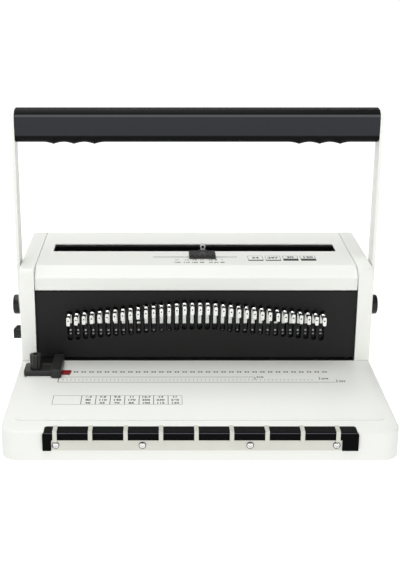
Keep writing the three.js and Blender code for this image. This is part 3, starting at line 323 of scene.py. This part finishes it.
def noise_node(tree, scale, detail, stretch=(1, 1, 1)):
    place = tree.nodes.new("ShaderNodeTexCoord")
    mapping = tree.nodes.new("ShaderNodeMapping")
    mapping.inputs["Scale"].default_value = stretch
    noise = tree.nodes.new("ShaderNodeTexNoise")
    noise.inputs["Scale"].default_value = scale
    noise.inputs["Detail"].default_value = detail
    tree.links.new(place.outputs["Object"], mapping.inputs["Vector"])
    tree.links.new(mapping.outputs["Vector"], noise.inputs["Vector"])
    return noise.outputs["Fac"]


def ramp(tree, value, start, end, low=0, high=1):
    """Map a value between start and end to a range from low to high."""
    node = tree.nodes.new("ShaderNodeMapRange")
    for socket, number in (("From Min", start), ("From Max", end), ("To Min", low), ("To Max", high)):
        node.inputs[socket].default_value = number
    tree.links.new(value, node.inputs["Value"])
    return node.outputs["Result"]


def product(tree, first, second):
    node = tree.nodes.new("ShaderNodeMath")
    node.operation = "MULTIPLY"
    for index, factor in enumerate((first, second)):
        tree.links.new(factor, node.inputs[index])
    return node.outputs["Value"]


def axes(tree, kind):
    """The X, Y and Z of a texture coordinate."""
    place = tree.nodes.new("ShaderNodeTexCoord")
    split = tree.nodes.new("ShaderNodeSeparateXYZ")
    tree.links.new(place.outputs[kind], split.inputs["Vector"])
    return split.outputs


def tint(tree, factor, color, shader):
    """Mix a colour in by a factor, and return the socket of the colour below it."""
    mix = tree.nodes.new("ShaderNodeMix")
    mix.data_type = "RGBA"
    mix.inputs["B"].default_value = (*color, 1)
    tree.links.new(factor, mix.inputs["Factor"])
    tree.links.new(mix.outputs["Result"], shader.inputs["Base Color"])
    return mix.inputs["A"]


def bump(tree, factor, height, shader):
    node = tree.nodes.new("ShaderNodeBump")
    node.inputs["Strength"].default_value = 1
    node.inputs["Distance"].default_value = height
    tree.links.new(factor, node.inputs["Height"])
    tree.links.new(node.outputs["Normal"], shader.inputs["Normal"])


def surface(name, color, roughness, spread=0.04, metallic=0.0, specular=0.5, grain=900,
            height=0.02 * MM, stretch=(1, 1, 1), tone=0.05, blotch=25):
    """A finish with grain in its bump and roughness, and a slow change of tone."""
    material, shader = new_material(name, color, roughness, metallic, specular)
    tree = material.node_tree
    patches = noise_node(tree, blotch, PATCH_DETAIL)
    dark = [part * (1 - tone) for part in color]
    light = [min(1, part * (1 + tone)) for part in color]
    tint(tree, patches, light, shader).default_value = (*dark, 1)
    fine = noise_node(tree, grain, GRAIN_DETAIL, stretch)
    rough = ramp(tree, fine, NOISE_LOW, NOISE_HIGH, roughness - spread, roughness + spread)
    tree.links.new(rough, shader.inputs["Roughness"])
    bump(tree, fine, height, shader)
    return material


finishes = {
    "white_paint": surface("powder_white", (0.805, 0.815, 0.775), 0.42, tone=0.012, height=0.015 * MM,
                           specular=0.35),
    "black_panel": surface("panel_black", (0.0065, 0.0065, 0.0067), 0.5, tone=0.15, specular=0.25),
    "black_plastic": surface("plastic_black", (0.002, 0.002, 0.0022), 0.36, tone=0.1, grain=1400,
                             specular=0.04),
    "grip_plastic": surface("grip_black", (0.0045, 0.0045, 0.0048), 0.42, tone=0.1, grain=1100,
                            height=0.05 * MM, blotch=9, specular=0.06),
    "foot_rubber": surface("foot_rubber", (0.01, 0.01, 0.01), 0.8, tone=0.15, grain=500,
                           height=0.04 * MM),
    "steel": surface("steel_brushed", (0.66, 0.66, 0.61), 0.36, metallic=1, spread=0.1, grain=500,
                     stretch=(0.02, 1, 1), height=0.01 * MM, tone=0.1, blotch=40),
    "arm_screws": surface("screw_polish", (0.75, 0.75, 0.74), 0.2, metallic=1, grain=300,
                          height=0.004 * MM),
    "dark_steel": surface("steel_dark", (0.03, 0.03, 0.032), 0.5, metallic=0.7, spread=0.08, grain=400,
                          stretch=(0.05, 1, 1), height=0.01 * MM, tone=0.2, specular=0.3),
    "bright_keys": surface("nickel_bright", (0.93, 0.93, 0.9), 0.24, metallic=1, spread=0.06, grain=800,
                           height=0.004 * MM, tone=0.03),
    "red_plastic": surface("plastic_red", (0.24, 0.008, 0.013), 0.38, tone=0.08, grain=900,
                           specular=0.3),
}


def color_band(material, color, low, high, edge):
    """Give a finish another colour between two heights of its own piece."""
    tree = material.node_tree
    shader = tree.nodes["Principled BSDF"]
    present = shader.inputs["Base Color"].links[0].from_socket
    level = axes(tree, "Object")["Z"]
    inside = product(tree, ramp(tree, level, low, low + edge), ramp(tree, level, high, high - edge))
    tree.links.new(present, tint(tree, inside, color, shader))


# Painted light on the grip: the band between these heights is painted paler for the light it catches,
# and a painted highlight runs along the band's upper edge
band_top = GRIP_HIGH.z - GRIP_BAND_HIGH
for color, bottom in ((GRIP_PAINTED_LIGHT_COLOR, GRIP_LOW.z + GRIP_BAND_LOW),
                      (GRIP_PAINTED_HIGHLIGHT_COLOR, band_top - GRIP_PAINTED_HIGHLIGHT_HEIGHT)):
    color_band(finishes["grip_plastic"], color, bottom, band_top, GRIP_BAND_EDGE)

ink = surface("print_ink", (0.012, 0.012, 0.013), 0.6, tone=0.1, grain=2000, height=0.002 * MM)
pale_ink = surface("print_ink_pale", (0.3, 0.3, 0.29), 0.6, tone=0.1, grain=2000,
                   height=0.002 * MM)
satin_strip = surface("strip_satin", (0.68, 0.7, 0.68), 0.42, metallic=1, spread=0.08, grain=700,
                      stretch=(1, 1, 0.03), height=0.008 * MM, tone=0.08)
cap_plastic = surface("plastic_cap", (0.007, 0.007, 0.0072), 0.34, tone=0.1, grain=1400, specular=0.3)
# Near-black steel that also paints shade: the trough's parts, the rings round the screw heads and the
# selector post's eye
blackened_and_shade = surface("steel_blackened_and_shade", (0.003, 0.003, 0.0032), 0.55, tone=0.15, grain=500,
                    specular=0.06)
zinc_strip = surface("strip_zinc", (0.59, 0.59, 0.53), 0.42, metallic=0.45, spread=0.08, grain=500,
                     stretch=(0.02, 1, 1), height=0.01 * MM, tone=0.08, blotch=40)
# A light strip along the rack's fold is a painted highlight
rack_highlight_paint = surface("rack_painted_highlight", (0.05, 0.052, 0.064), 0.4, tone=0.2, grain=900, specular=0.2)
guide_plastic = surface("plastic_guide", (0.02, 0.02, 0.0195), 0.36, tone=0.15, grain=1400,
                        specular=0.3)
# Paler steel for the painted glints on the pins
glint_steel = surface("pin_glint_paint", (0.62, 0.64, 0.66), 0.45, metallic=0.6, grain=600, tone=0.15)


def paint(piece, material):
    piece.data.materials.clear()
    piece.data.materials.append(material)


def attach(piece, node, *replaced, slot=None):
    """Let a piece ride with a node's body, in its slot's finish unless it has its own."""
    name = slot or slot_of[node]
    if not piece.data.materials:
        paint(piece, finishes[name])
    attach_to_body(piece, body_of[node])
    if replaced:
        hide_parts(*replaced)
    return piece


def soften_edges(piece, width, segments=EDGE_SEGMENTS, angle=EDGE_ANGLE):
    edges = piece.modifiers.new("edges", "BEVEL")
    edges.limit_method = "ANGLE"
    edges.angle_limit = math.radians(angle)
    edges.width = width
    edges.segments = segments
    edges.harden_normals = True


def refine(node, width, segments, angle):
    """Stand in for a node with a copy whose faces are merged, smoothed and given rounded edges."""
    mesh = frame["nodes"][node].data.copy()
    cells = bmesh.new()
    cells.from_mesh(mesh)
    bmesh.ops.remove_doubles(cells, verts=cells.verts[:], dist=MERGE_DISTANCE)
    bmesh.ops.dissolve_limit(cells, angle_limit=math.radians(FLAT_ANGLE), verts=cells.verts[:],
                             edges=cells.edges[:])
    smooth_by_angle(cells, angle)
    cells.to_mesh(mesh)
    cells.free()
    piece = link(bpy.data.objects.new(node + "_finish", mesh))
    soften_edges(piece, width, segments, angle)
    attach(piece, node, node)


# Every node gets its finish, and the ones in sight get rounded edges
own_finish = {node: material for material, nodes in (
    (satin_strip, ["selector_post"]),
    (zinc_strip, ["rack_finger_strip"]),
    (cap_plastic, ["left_pivot_cap", "right_pivot_cap", "margin_knob"]),
    (guide_plastic, ["edge_guide", "edge_guide_knob", "selector_slider"]),
    # darker than their slot: partly their own black, partly painted shade in the slot
    (blackened_and_shade, ["trough_floor", "closing_bar", "closer_anvil"]),
) for node in nodes}
for node, piece in frame["nodes"].items():
    paint(piece, own_finish.get(node, finishes[slot_of[node]]))

for width, segments, angle, nodes in REFINED:
    for node in nodes:
        refine(node, width, segments, angle)


# Closed forms for the small pieces
def box_cells(cells, xs, ys, zs):
    corners = [(xs[0], ys[0]), (xs[1], ys[0]), (xs[1], ys[1]), (xs[0], ys[1])]
    low = [cells.verts.new((x, y, zs[0])) for x, y in corners]
    high = [cells.verts.new((x, y, zs[1])) for x, y in corners]
    cells.faces.new(low[::-1])
    cells.faces.new(high)
    bridge(cells, low, high)


def bridge(cells, first, second):
    for index in range(len(first)):
        after = (index + 1) % len(first)
        cells.faces.new([first[index], first[after], second[after], second[index]])


def loft(cells, rings):
    for first, second in zip(rings, rings[1:]):
        bridge(cells, first, second)
    cells.faces.new(rings[0])
    cells.faces.new(rings[-1][::-1])


def circle(count, radius):
    angles = [2 * math.pi * (index + 0.5) / count for index in range(count)]
    return [(radius * math.cos(angle), radius * math.sin(angle)) for angle in angles]


def outline_ring(cells, x, depth, level, outline):
    """The corners of an upright outline that faces along Y."""
    return [cells.verts.new((x + across, depth, level + up)) for across, up in outline]


def plate_cells(cells, x, level, outline, depths):
    """A closed plate with one upright outline at all its depths."""
    loft(cells, [outline_ring(cells, x, depth, level, outline) for depth in depths])


def rounded_outline(half_width, half_height, corner, count):
    """Points at even angles around a rectangle with rounded corners."""
    points = []
    for across, up in circle(count, 1):
        reach = min(half_width / abs(across), half_height / abs(up))
        spot = Vector((across * reach, up * reach))
        core = Vector((clamp(spot.x, corner - half_width, half_width - corner),
                       clamp(spot.y, corner - half_height, half_height - corner)))
        out = spot - core
        points.append(core + out.normalized() * min(corner, out.length))
    return points


def key_cells(cells, number):
    """The bright part of one pull key: the tab with its hole, and the round knuckle."""
    x = hole_x(number)
    mid = KEY_MID + stagger(x)
    outer = rounded_outline(KEY_WIDTH / 2, KEY_TAB_HALF, KEY_TAB_CORNER, KEY_RING_POINTS)
    inner = [(across, up + KEY_HOLE_LIFT) for across, up in circle(KEY_RING_POINTS, KEY_HOLE_RADIUS)]
    sections = [(outer, KEY_TAB_FRONT), (inner, KEY_TAB_FRONT),
                (inner, KEY_TAB_REAR), (outer, KEY_TAB_REAR)]
    loops = [outline_ring(cells, x, FRONT + depth, mid, outline) for outline, depth in sections]
    for first, second in zip(loops, loops[1:] + loops[:1]):
        bridge(cells, first, second)
    depth = FRONT + KNUCKLE_DEPTH
    level = mid + KNUCKLE_LIFT
    rings = []
    for share, size in KNUCKLE_SHARES:
        side = x + share * KEY_WIDTH / 2
        section = circle(KNUCKLE_SIDES, KNUCKLE_RADIUS * size)
        rings.append([cells.verts.new((side, depth + back, level + up)) for back, up in section])
    loft(cells, rings)


def shaded_key_arm(cells, number):
    """The arm behind the tab, the foot under the knuckle and a plate behind the tab's hole, in dark
    steel as painted shade: the arm, of the tab's bright sheet, is dark where shaded, and the plate
    paints the hole's shade.
    """
    x = hole_x(number)
    mid = KEY_MID + stagger(x)
    widths = around(x, KEY_WIDTH / 2 - SEAT_GAP)
    tab = FRONT + KEY_TAB_REAR
    foot = around(FRONT + KNUCKLE_DEPTH, KNUCKLE_FOOT / 2)
    box_cells(cells, widths, (tab, FRONT + KEY_REAR), (mid, mid + KEY_ARM))
    box_cells(cells, widths, foot, (mid + KEY_ARM / 2, mid + KNUCKLE_LIFT))
    box_cells(cells, widths, (tab, tab + SEAT_GAP), (mid, mid + KEY_HOLE_LIFT + 2 * KEY_HOLE_RADIUS))


def keys_cells(cells, builder, numbers):
    for number in numbers:
        builder(cells, number)


def band_cells(cells, ends, ys, low, high):
    """A bar that follows the stagger of the row."""
    flat = abs(FIRST_HOLE) * STAGGER_FLAT_SHARE
    corners = [(ys[0], low), (ys[1], low), (ys[1], high), (ys[0], high)]
    stations = (-ends, FIRST_HOLE, -flat, flat, -FIRST_HOLE, ends)
    loft(cells, [[cells.verts.new((x, y, z + stagger(x))) for y, z in corners] for x in stations])


def key_rail(cells):
    """The rail over the arms of the joined keys, with a block on each of them."""
    low = KEY_MID + KEY_ARM + SEAT_GAP
    depths = (FRONT + KEY_RAIL_FRONT, FRONT + KEY_RAIL_REAR)
    band_cells(cells, KEY_WIDTH / 2 - FIRST_HOLE, depths, low, low + KEY_RAIL_HEIGHT)
    for number in joined_keys:
        x = hole_x(number)
        heights = (KEY_MID + stagger(x) + KEY_ARM, low + stagger(x) + KEY_RAIL_HEIGHT / 2)
        box_cells(cells, around(x, KEY_WIDTH / 2), depths, heights)


def pins(cells):
    """The pins with the rail that joins them, and the webs to their front strips."""
    half = PIN_SIDE / 2
    depths = around(FRONT + PIN_DEPTH, half)
    web_heights = (STRIP_LOW + SEAT_GAP, STRIP_LOW + WEB_HEIGHT)
    band_cells(cells, half - FIRST_HOLE, depths, PIN_TOP - PIN_RAIL, PIN_TOP)
    for number in all_keys:
        x = hole_x(number)
        lift = stagger(x)
        box_cells(cells, around(x, half), depths, (PIN_LOW + lift, PIN_TOP - PIN_RAIL / 2 + lift))
        box_cells(cells, around(x, half - SEAT_GAP), (FRONT + STRIP_REAR, depths[0]), web_heights)


def strips(cells):
    """The bright strip in front of each pin, up to its key."""
    depths = (FRONT + STRIP_FRONT, FRONT + STRIP_REAR)
    for number in all_keys:
        x = hole_x(number)
        high = KEY_MID + stagger(x) - SEAT_GAP
        if number in SHORT_STRIPS:
            high = STRIP_LOW + SHORT_STRIP_HEIGHT
        box_cells(cells, around(x, KEY_WIDTH / 2), depths, (STRIP_LOW, high))


def glint_steps(cells):
    """Two small steps on the front of each pin, paler than the pin as painted glints."""
    front = FRONT + PIN_DEPTH - PIN_SIDE / 2
    for number in all_keys:
        for heights in GLINT_HEIGHTS:
            widths = around(hole_x(number), GLINT_HALF)
            box_cells(cells, widths, (front - GLINT_THICKNESS, front), heights)


all_keys = range(1, HOLE_COUNT + 1)
joined_keys = [number for number in all_keys if number not in LOOSE_KEYS]
key_sets = [("pull_keys", joined_keys)] + [(f"pull_key_{number}", [number]) for number in LOOSE_KEYS]
for node, numbers in key_sets:
    piece = mesh_object(node + "_bright", keys_cells, key_cells, numbers, smooth=ROUND_SMOOTH)
    soften_edges(attach(piece, node, node), KEY_EDGE, angle=KEY_EDGE_ANGLE)
    # The keys' arms are in dark steel as painted shade
    attach(mesh_object(node + "_arms", keys_cells, shaded_key_arm, numbers), node, slot="dark_steel")

# The pins are dark steel: partly their own finish, partly painted shade for the dark behind the strips
for name, builder, material, slot, replaced in (
        ("pull_key_rail", key_rail, finishes["dark_steel"], "dark_steel", ()),
        ("pin_comb", pins, finishes["dark_steel"], "dark_steel", ("punch_pins",)),
        ("pin_strips", strips, satin_strip, "steel", ()),
        ("pin_glint_steps", glint_steps, glint_steel, "steel", ())):
    piece = mesh_object(name, builder)
    paint(piece, material)
    soften_edges(attach(piece, "punch_pins", *replaced, slot=slot), PIN_EDGE)


# Grip: one loft whose underside carries the finger ridges
def grip_outline():
    """Points and outward directions around the section; a corner starts at so many half turns."""
    reach_y = GRIP_DEPTH / 2 - GRIP_CORNER
    reach_z = GRIP_HEIGHT / 2 - GRIP_CORNER
    outline = []
    for side_y, side_z, start in ((-1, -1, 1), (1, -1, 1.5), (1, 1, 0), (-1, 1, 0.5)):
        centre = Vector((side_y * reach_y, side_z * reach_z))
        for step in range(GRIP_CORNER_STEPS + 1):
            angle = math.pi * (start + 0.5 * step / GRIP_CORNER_STEPS)
            out = Vector((math.cos(angle), math.sin(angle)))
            outline.append((centre + out * GRIP_CORNER, out))
    return outline


def ridge(x):
    shares = [abs(abs(x) - place) / RIDGE_HALF for place in RIDGE_PLACES]
    return RIDGE_DEPTH * max(0, 1 - min(shares)) ** RIDGE_POWER


def grip_stations():
    half = GRIP_HIGH.x
    spots = {round(place + side * share * RIDGE_HALF, 6)
             for place in RIDGE_PLACES for share in RIDGE_SHARES for side in (-1, 1)}
    spots |= {0, half - GRIP_END_EDGE, half}
    return sorted(spots | {-spot for spot in spots})


def grip_loft(cells):
    outline = grip_outline()
    middle = Vector(((GRIP_LOW.y + GRIP_HIGH.y) / 2, GRIP_HIGH.z - GRIP_HEIGHT / 2))
    rings = []
    for x in grip_stations():
        inset = GRIP_END_EDGE if abs(x) > GRIP_HIGH.x - GRIP_END_EDGE / 2 else 0
        ring = []
        for point, out in outline:
            fade = clamp(1 - (point.y + GRIP_HEIGHT / 2) / RIDGE_FADE, 0, 1)
            place = middle + point + out * (ridge(x) * fade - inset)
            ring.append(cells.verts.new((x, place.x, place.y)))
        rings.append(ring)
    loft(cells, rings)


attach(mesh_object("grip_loft", grip_loft, smooth=GRIP_SMOOTH), "handle_grip", "handle_grip")


# Screws: domed heads with a cross recess, and their shanks
def recess(across, up, radius):
    thin, long = sorted((abs(across), abs(up)))
    return thin < RECESS_ARM_SHARE * radius and long < RECESS_REACH_SHARE * radius


def screw_cells(cells, node, axis, out):
    """A screw along axis 0 or 1 whose head looks towards out."""
    low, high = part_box(node)
    first, second = [index for index in range(3) if index != axis]
    middle = (low + high) / 2
    radius = (high[first] - low[first]) / 2
    face, tip = (high[axis], low[axis]) if out > 0 else (low[axis], high[axis])
    height = radius * HEAD_HEIGHT_SHARE

    def ring(along, size):
        spots = []
        for across, up in circle(ROUND_SEGMENTS, size):
            sunk = height * RECESS_DEPTH_SHARE if recess(across, up, radius) and along != tip else 0
            place = middle.copy()
            place[axis] = along - out * sunk
            place[first] += across
            place[second] += up
            spots.append(cells.verts.new(place))
        return spots

    rings = [ring(tip, height), ring(face - out * height, radius)]
    for step in range(SCREW_RINGS):
        share = 1 - step / SCREW_RINGS
        rings.append(ring(face - out * height * DOME_SHARE * share ** DOME_POWER, radius * share))
    loft(cells, rings)


def screw_shade_ring(cells, node):
    """A dark ring round a screw's head: painted shade in the recess round the head."""
    low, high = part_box(node)
    middle = (low + high) / 2
    radius = (high.x - low.x) / 2
    rear = low.y + radius * HEAD_HEIGHT_SHARE
    plate_cells(cells, middle.x, middle.z, circle(ROUND_SEGMENTS, radius + SHADE_RING_REACH),
                (rear - SHADE_RING_THICKNESS, rear))


rack_screws = [f"rack_screw_{index}" for index in (1, 2, 3, 4)]
# Each rack screw gets a dark ring of painted shade round its head
for node in rack_screws:
    shade_piece = mesh_object(node + "_shade_ring", screw_shade_ring, node)
    paint(shade_piece, blackened_and_shade)
    attach(shade_piece, node, slot="arm_screws")
screws = [(node, 1, -1) for node in rack_screws]
screws += [(f"left_arm_screw_{place}", 0, -1) for place in ("upper", "lower")]
screws += [(f"right_arm_screw_{place}", 0, 1) for place in ("upper", "lower")]
for node, axis, out in screws:
    piece = mesh_object(node + "_turned", screw_cells, node, axis, out, smooth=ROUND_SMOOTH)
    attach(piece, node, node, slot="arm_screws")


# The rack's painted highlight strip, the selector's lip, the painted shade of the selector post's eye,
# and the edge guide's rear wing
# A thin light strip along the rack's front fold: a painted highlight
def rack_highlight_strip(cells):
    low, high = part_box("wire_rack")
    widths = (low.x + RACK_HIGHLIGHT_INSET, high.x - RACK_HIGHLIGHT_INSET)
    depths = (low.y - SEAT_GAP / 2, low.y + SEAT_GAP)
    box_cells(cells, widths, depths, around(high.z - RACK_HIGHLIGHT_DROP, RACK_HIGHLIGHT_HALF))


def selector_lip(cells):
    low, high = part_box("selector_slider")
    box_cells(cells, (low.x, high.x), (FRONT + SELECTOR_LIP_FRONT, high.y),
              (COVER_TOP + SEAT_GAP, COVER_TOP + SELECTOR_LIP_HEIGHT))


# A dark disc on the front of the selector post: painted shade standing for the hole near its top
def selector_eye_shade(cells):
    low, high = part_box("selector_post")
    middle = (low + high) / 2
    level = high.z - (high.x - low.x) / 2
    plate_cells(cells, middle.x, level, circle(EYE_SIDES, EYE_RADIUS),
                (low.y - EYE_RAISE, low.y + SEAT_GAP))


def guide_wing(cells):
    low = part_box("edge_guide")[0].z
    depths = (FRONT + GUIDE_WING_FRONT, FRONT + GUIDE_WING_REAR)
    box_cells(cells, (GUIDE_WING_LEFT, GUIDE_WING_RIGHT), depths, (low, low + GUIDE_WING_HEIGHT))


for name, builder, node, material in (
        ("rack_highlight_strip", rack_highlight_strip, "wire_rack", rack_highlight_paint),
        ("selector_lip", selector_lip, "selector_slider", guide_plastic),
        ("selector_eye_shade", selector_eye_shade, "selector_post", blackened_and_shade),
        ("guide_wing", guide_wing, "edge_guide", cap_plastic)):
    piece = mesh_object(name, builder)
    paint(piece, material)
    attach(piece, node)
    soften_edges(piece, FITTING_EDGE)


# Printed marks: thin ink on the table and on the cover
def ink_strip(cells, left, right, front, rear, low):
    box_cells(cells, (left, right), (front, rear), (low, low + INK_THICKNESS))


def frame_marks(cells, left, right, front, rear, low, line):
    """A rectangle of four lines."""
    ink_strip(cells, left, right, front, front + line, low)
    ink_strip(cells, left, right, rear - line, rear, low)
    ink_strip(cells, left, left + line, front + line, rear - line, low)
    ink_strip(cells, right - line, right, front + line, rear - line, low)


def print_numbers(name, entries, size, low, node):
    for index, (words, x, depth) in enumerate(entries, 1):
        curve = bpy.data.curves.new(f"{name}_{index}", "FONT")
        curve.body = words
        curve.size = size
        curve.align_x = "CENTER"
        curve.align_y = "CENTER"
        curve.extrude = INK_THICKNESS / 2
        curve.offset = NUMBER_WEIGHT_SHARE * size
        curve.materials.append(ink)
        piece = link(bpy.data.objects.new(f"{name}_{index}", curve))
        piece.location = (x, FRONT + depth, low + INK_THICKNESS / 2)
        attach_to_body(piece, body_of[node])


def hole_marks(cells):
    """A small square for each hole: two side lines, and two cross lines of half their width."""
    y = FRONT + MARK_ROW_DEPTH
    half = MARK_DEPTH / 2
    for number in all_keys:
        x = hole_x(number)
        for side in (-1, 1):
            edge = around(x + side * MARK_WIDTH / 2, MARK_LINE / 2)
            ink_strip(cells, *edge, *around(y, half), TABLE_TOP)
            line = around(y + side * (half - MARK_LINE / 2), MARK_LINE / 4)
            ink_strip(cells, *around(x, MARK_WIDTH / 4), *line, TABLE_TOP)


def ruler(cells):
    for depth, length in ((RULER_REAR, RULER_SHORT_LENGTH), (RULER_FRONT, RULER_LENGTH)):
        y = FRONT + depth
        ink_strip(cells, RULER_LEFT, RULER_LEFT + length, y, y + RULER_LINE, TABLE_TOP)


def ruler_ends(cells):
    """A line at the left end of the rulers and at each sheet's edge."""
    for length, front, rear in ((-TICK_WIDTH, RULER_FRONT, RULER_REAR),
                                (RULER_LENGTH, RULER_FRONT, TICK_DEPTH),
                                (RULER_LETTER_LENGTH, TICK_DEPTH, RULER_REAR),
                                (RULER_SHORT_LENGTH, TICK_DEPTH, RULER_REAR)):
        end = RULER_LEFT + length
        ink_strip(cells, end, end + TICK_WIDTH, FRONT + front, FRONT + rear, TABLE_TOP)


def ruler_ticks(cells):
    step = HOLE_PITCH / 2
    depths = around(FRONT + TICK_DEPTH, TICK_LENGTH / 2)
    for index in range(1, int(RULER_LETTER_LENGTH / step)):
        x = RULER_LEFT + index * step
        ink_strip(cells, x, x + TICK_WIDTH, *depths, TABLE_TOP)


def chart_columns():
    count = len(CHART_ROWS[0])
    step = (CHART_RIGHT - CHART_LEFT - CHART_HEADER) / count
    return [CHART_LEFT + CHART_HEADER + index * step for index in range(count + 1)]


def chart(cells):
    """The frame of the printed table, and a line at the left of each column."""
    front = FRONT + CHART_FRONT
    rear = FRONT + CHART_REAR
    frame_marks(cells, CHART_LEFT, CHART_RIGHT, front, rear, TABLE_TOP, LINE_WIDTH)
    for x in chart_columns()[:-1]:
        ink_strip(cells, x, x + CHART_LINE, front + LINE_WIDTH, rear - LINE_WIDTH, TABLE_TOP)


def badges(cells):
    """Framed badges, each with a solid bar along its front."""
    front = FRONT + BADGE_FRONT
    for index, (_, bar) in enumerate(BADGES):
        left = BADGE_LEFT + index * BADGE_STEP
        frame_marks(cells, left, left + BADGE_WIDTH, front, FRONT + BADGE_REAR, COVER_TOP, LINE_WIDTH)
        ink_strip(cells, left, left + BADGE_WIDTH, front, front + bar, COVER_TOP + INK_THICKNESS)


for name, builder, material, node in (
        ("table_hole_marks", hole_marks, ink, "base_tray"),
        ("table_ruler", ruler, ink, "base_tray"),
        ("table_ruler_ends", ruler_ends, ink, "base_tray"),
        ("table_ruler_ticks", ruler_ticks, pale_ink, "base_tray"),
        ("table_chart", chart, ink, "base_tray"),
        ("cover_badges", badges, ink, "top_cover")):
    piece = mesh_object(name, builder)
    paint(piece, material)
    attach(piece, node)

column_edges = chart_columns()
columns = [(left + right) / 2 for left, right in zip(column_edges, column_edges[1:])]
row_step = (CHART_REAR - CHART_FRONT) / len(CHART_ROWS)
for row, words in enumerate(CHART_ROWS):
    depth = CHART_FRONT + (row + 0.5) * row_step
    entries = [(word, x, depth) for word, x in zip(words, columns)]
    print_numbers(f"chart_row_{row + 1}", entries, CHART_NUMBER, TABLE_TOP, "base_tray")
for row, (depth, words) in enumerate(SCALE_ROWS, 1):
    entries = [(word, x, depth) for word, x in zip(words, SCALE_PLACES)]
    print_numbers(f"scale_row_{row}", entries, SCALE_NUMBER, COVER_TOP, "top_cover")
entries = [
    (words, RULER_LEFT + length + RULER_NUMBER_GAP_SHARE * RULER_NUMBER, depth)
    for words, length, depth in (("210", RULER_SHORT_LENGTH, RULER_REAR),
                                 ("279", RULER_LETTER_LENGTH, TICK_DEPTH + RULER_NUMBER / 2),
                                 ("297", RULER_LENGTH, RULER_FRONT + RULER_NUMBER / 2))]
print_numbers("ruler_number", entries, RULER_NUMBER, TABLE_TOP, "base_tray")
entries = [
    (words, BADGE_LEFT + BADGE_WIDTH / 2 + index * BADGE_STEP, (BADGE_REAR + BADGE_FRONT + bar) / 2)
    for index, (words, bar) in enumerate(BADGES)]
print_numbers("badge_number", entries, BADGE_NUMBER, COVER_TOP, "top_cover")


# Floor, light and camera
def floor_cells(cells):
    """A floor with a low rim on every side but the front."""
    corners = [(-1, -1), (-1, 1), (1, 1), (1, -1)]
    low, high = [[cells.verts.new((x * FLOOR_HALF, y * FLOOR_HALF, level)) for x, y in corners]
                 for level in (0, FLOOR_RIM)]
    cells.faces.new(low)
    for index in range(len(corners) - 1):
        cells.faces.new([low[index], low[index + 1], high[index + 1], high[index]])


floor = mesh_object("studio_floor", floor_cells)
floor_paint = surface("studio_white", [FLOOR_TONE] * 3, 0.8, tone=0.01, grain=40, specular=0.1)
glow = floor_paint.node_tree.nodes["Principled BSDF"].inputs
glow["Emission Color"].default_value = (1, 1, 1, 1)
glow["Emission Strength"].default_value = FLOOR_GLOW
paint(floor, floor_paint)

# The room is bright low in front of the machine, and dimmer higher up and behind it
world = bpy.data.worlds.new("studio")
bpy.context.scene.world = world
world.use_nodes = True
tree = world.node_tree
direction = axes(tree, "Generated")
by_depth = ramp(tree, direction["Y"], WORLD_REAR_Y, WORLD_FRONT_Y, WORLD_REAR, WORLD_FRONT)
by_height = ramp(tree, direction["Z"], WORLD_FADE_LOW, WORLD_FADE_HIGH, 1, WORLD_HIGH_SHARE)
background = tree.nodes["Background"].inputs
tree.links.new(product(tree, by_depth, by_height), background["Strength"])
background["Color"].default_value = (1, 1, 1, 1)


def area_light(name, place, size, power):
    data = bpy.data.lights.new(name, "AREA")
    data.shape = "RECTANGLE"
    data.size, data.size_y = size
    data.energy = power
    lamp = link(bpy.data.objects.new(name, data))
    lamp.location = place
    lamp.rotation_euler = (Vector(LIGHT_AIM) - Vector(place)).to_track_quat("-Z", "Y").to_euler()


area_light("fill", FILL_PLACE, FILL_SIZE, FILL_POWER)
area_light("rear", REAR_PLACE, REAR_SIZE, REAR_POWER)

camera_data = bpy.data.cameras.new("camera")
camera_data.sensor_width = SENSOR
camera_data.lens = FOCAL_PIXELS / IMAGE_HEIGHT * SENSOR
camera_data.shift_x = (IMAGE_WIDTH / 2 - PRINCIPAL_X) / IMAGE_HEIGHT
camera = link(bpy.data.objects.new("camera", camera_data))
camera.location = (CAMERA_X, FRONT - CAMERA_BACK, CAMERA_HEIGHT)
camera.rotation_euler = (math.radians(90 - CAMERA_PITCH), 0, 0)
bpy.context.scene.camera = camera
bpy.context.scene.view_settings.view_transform = "Standard"
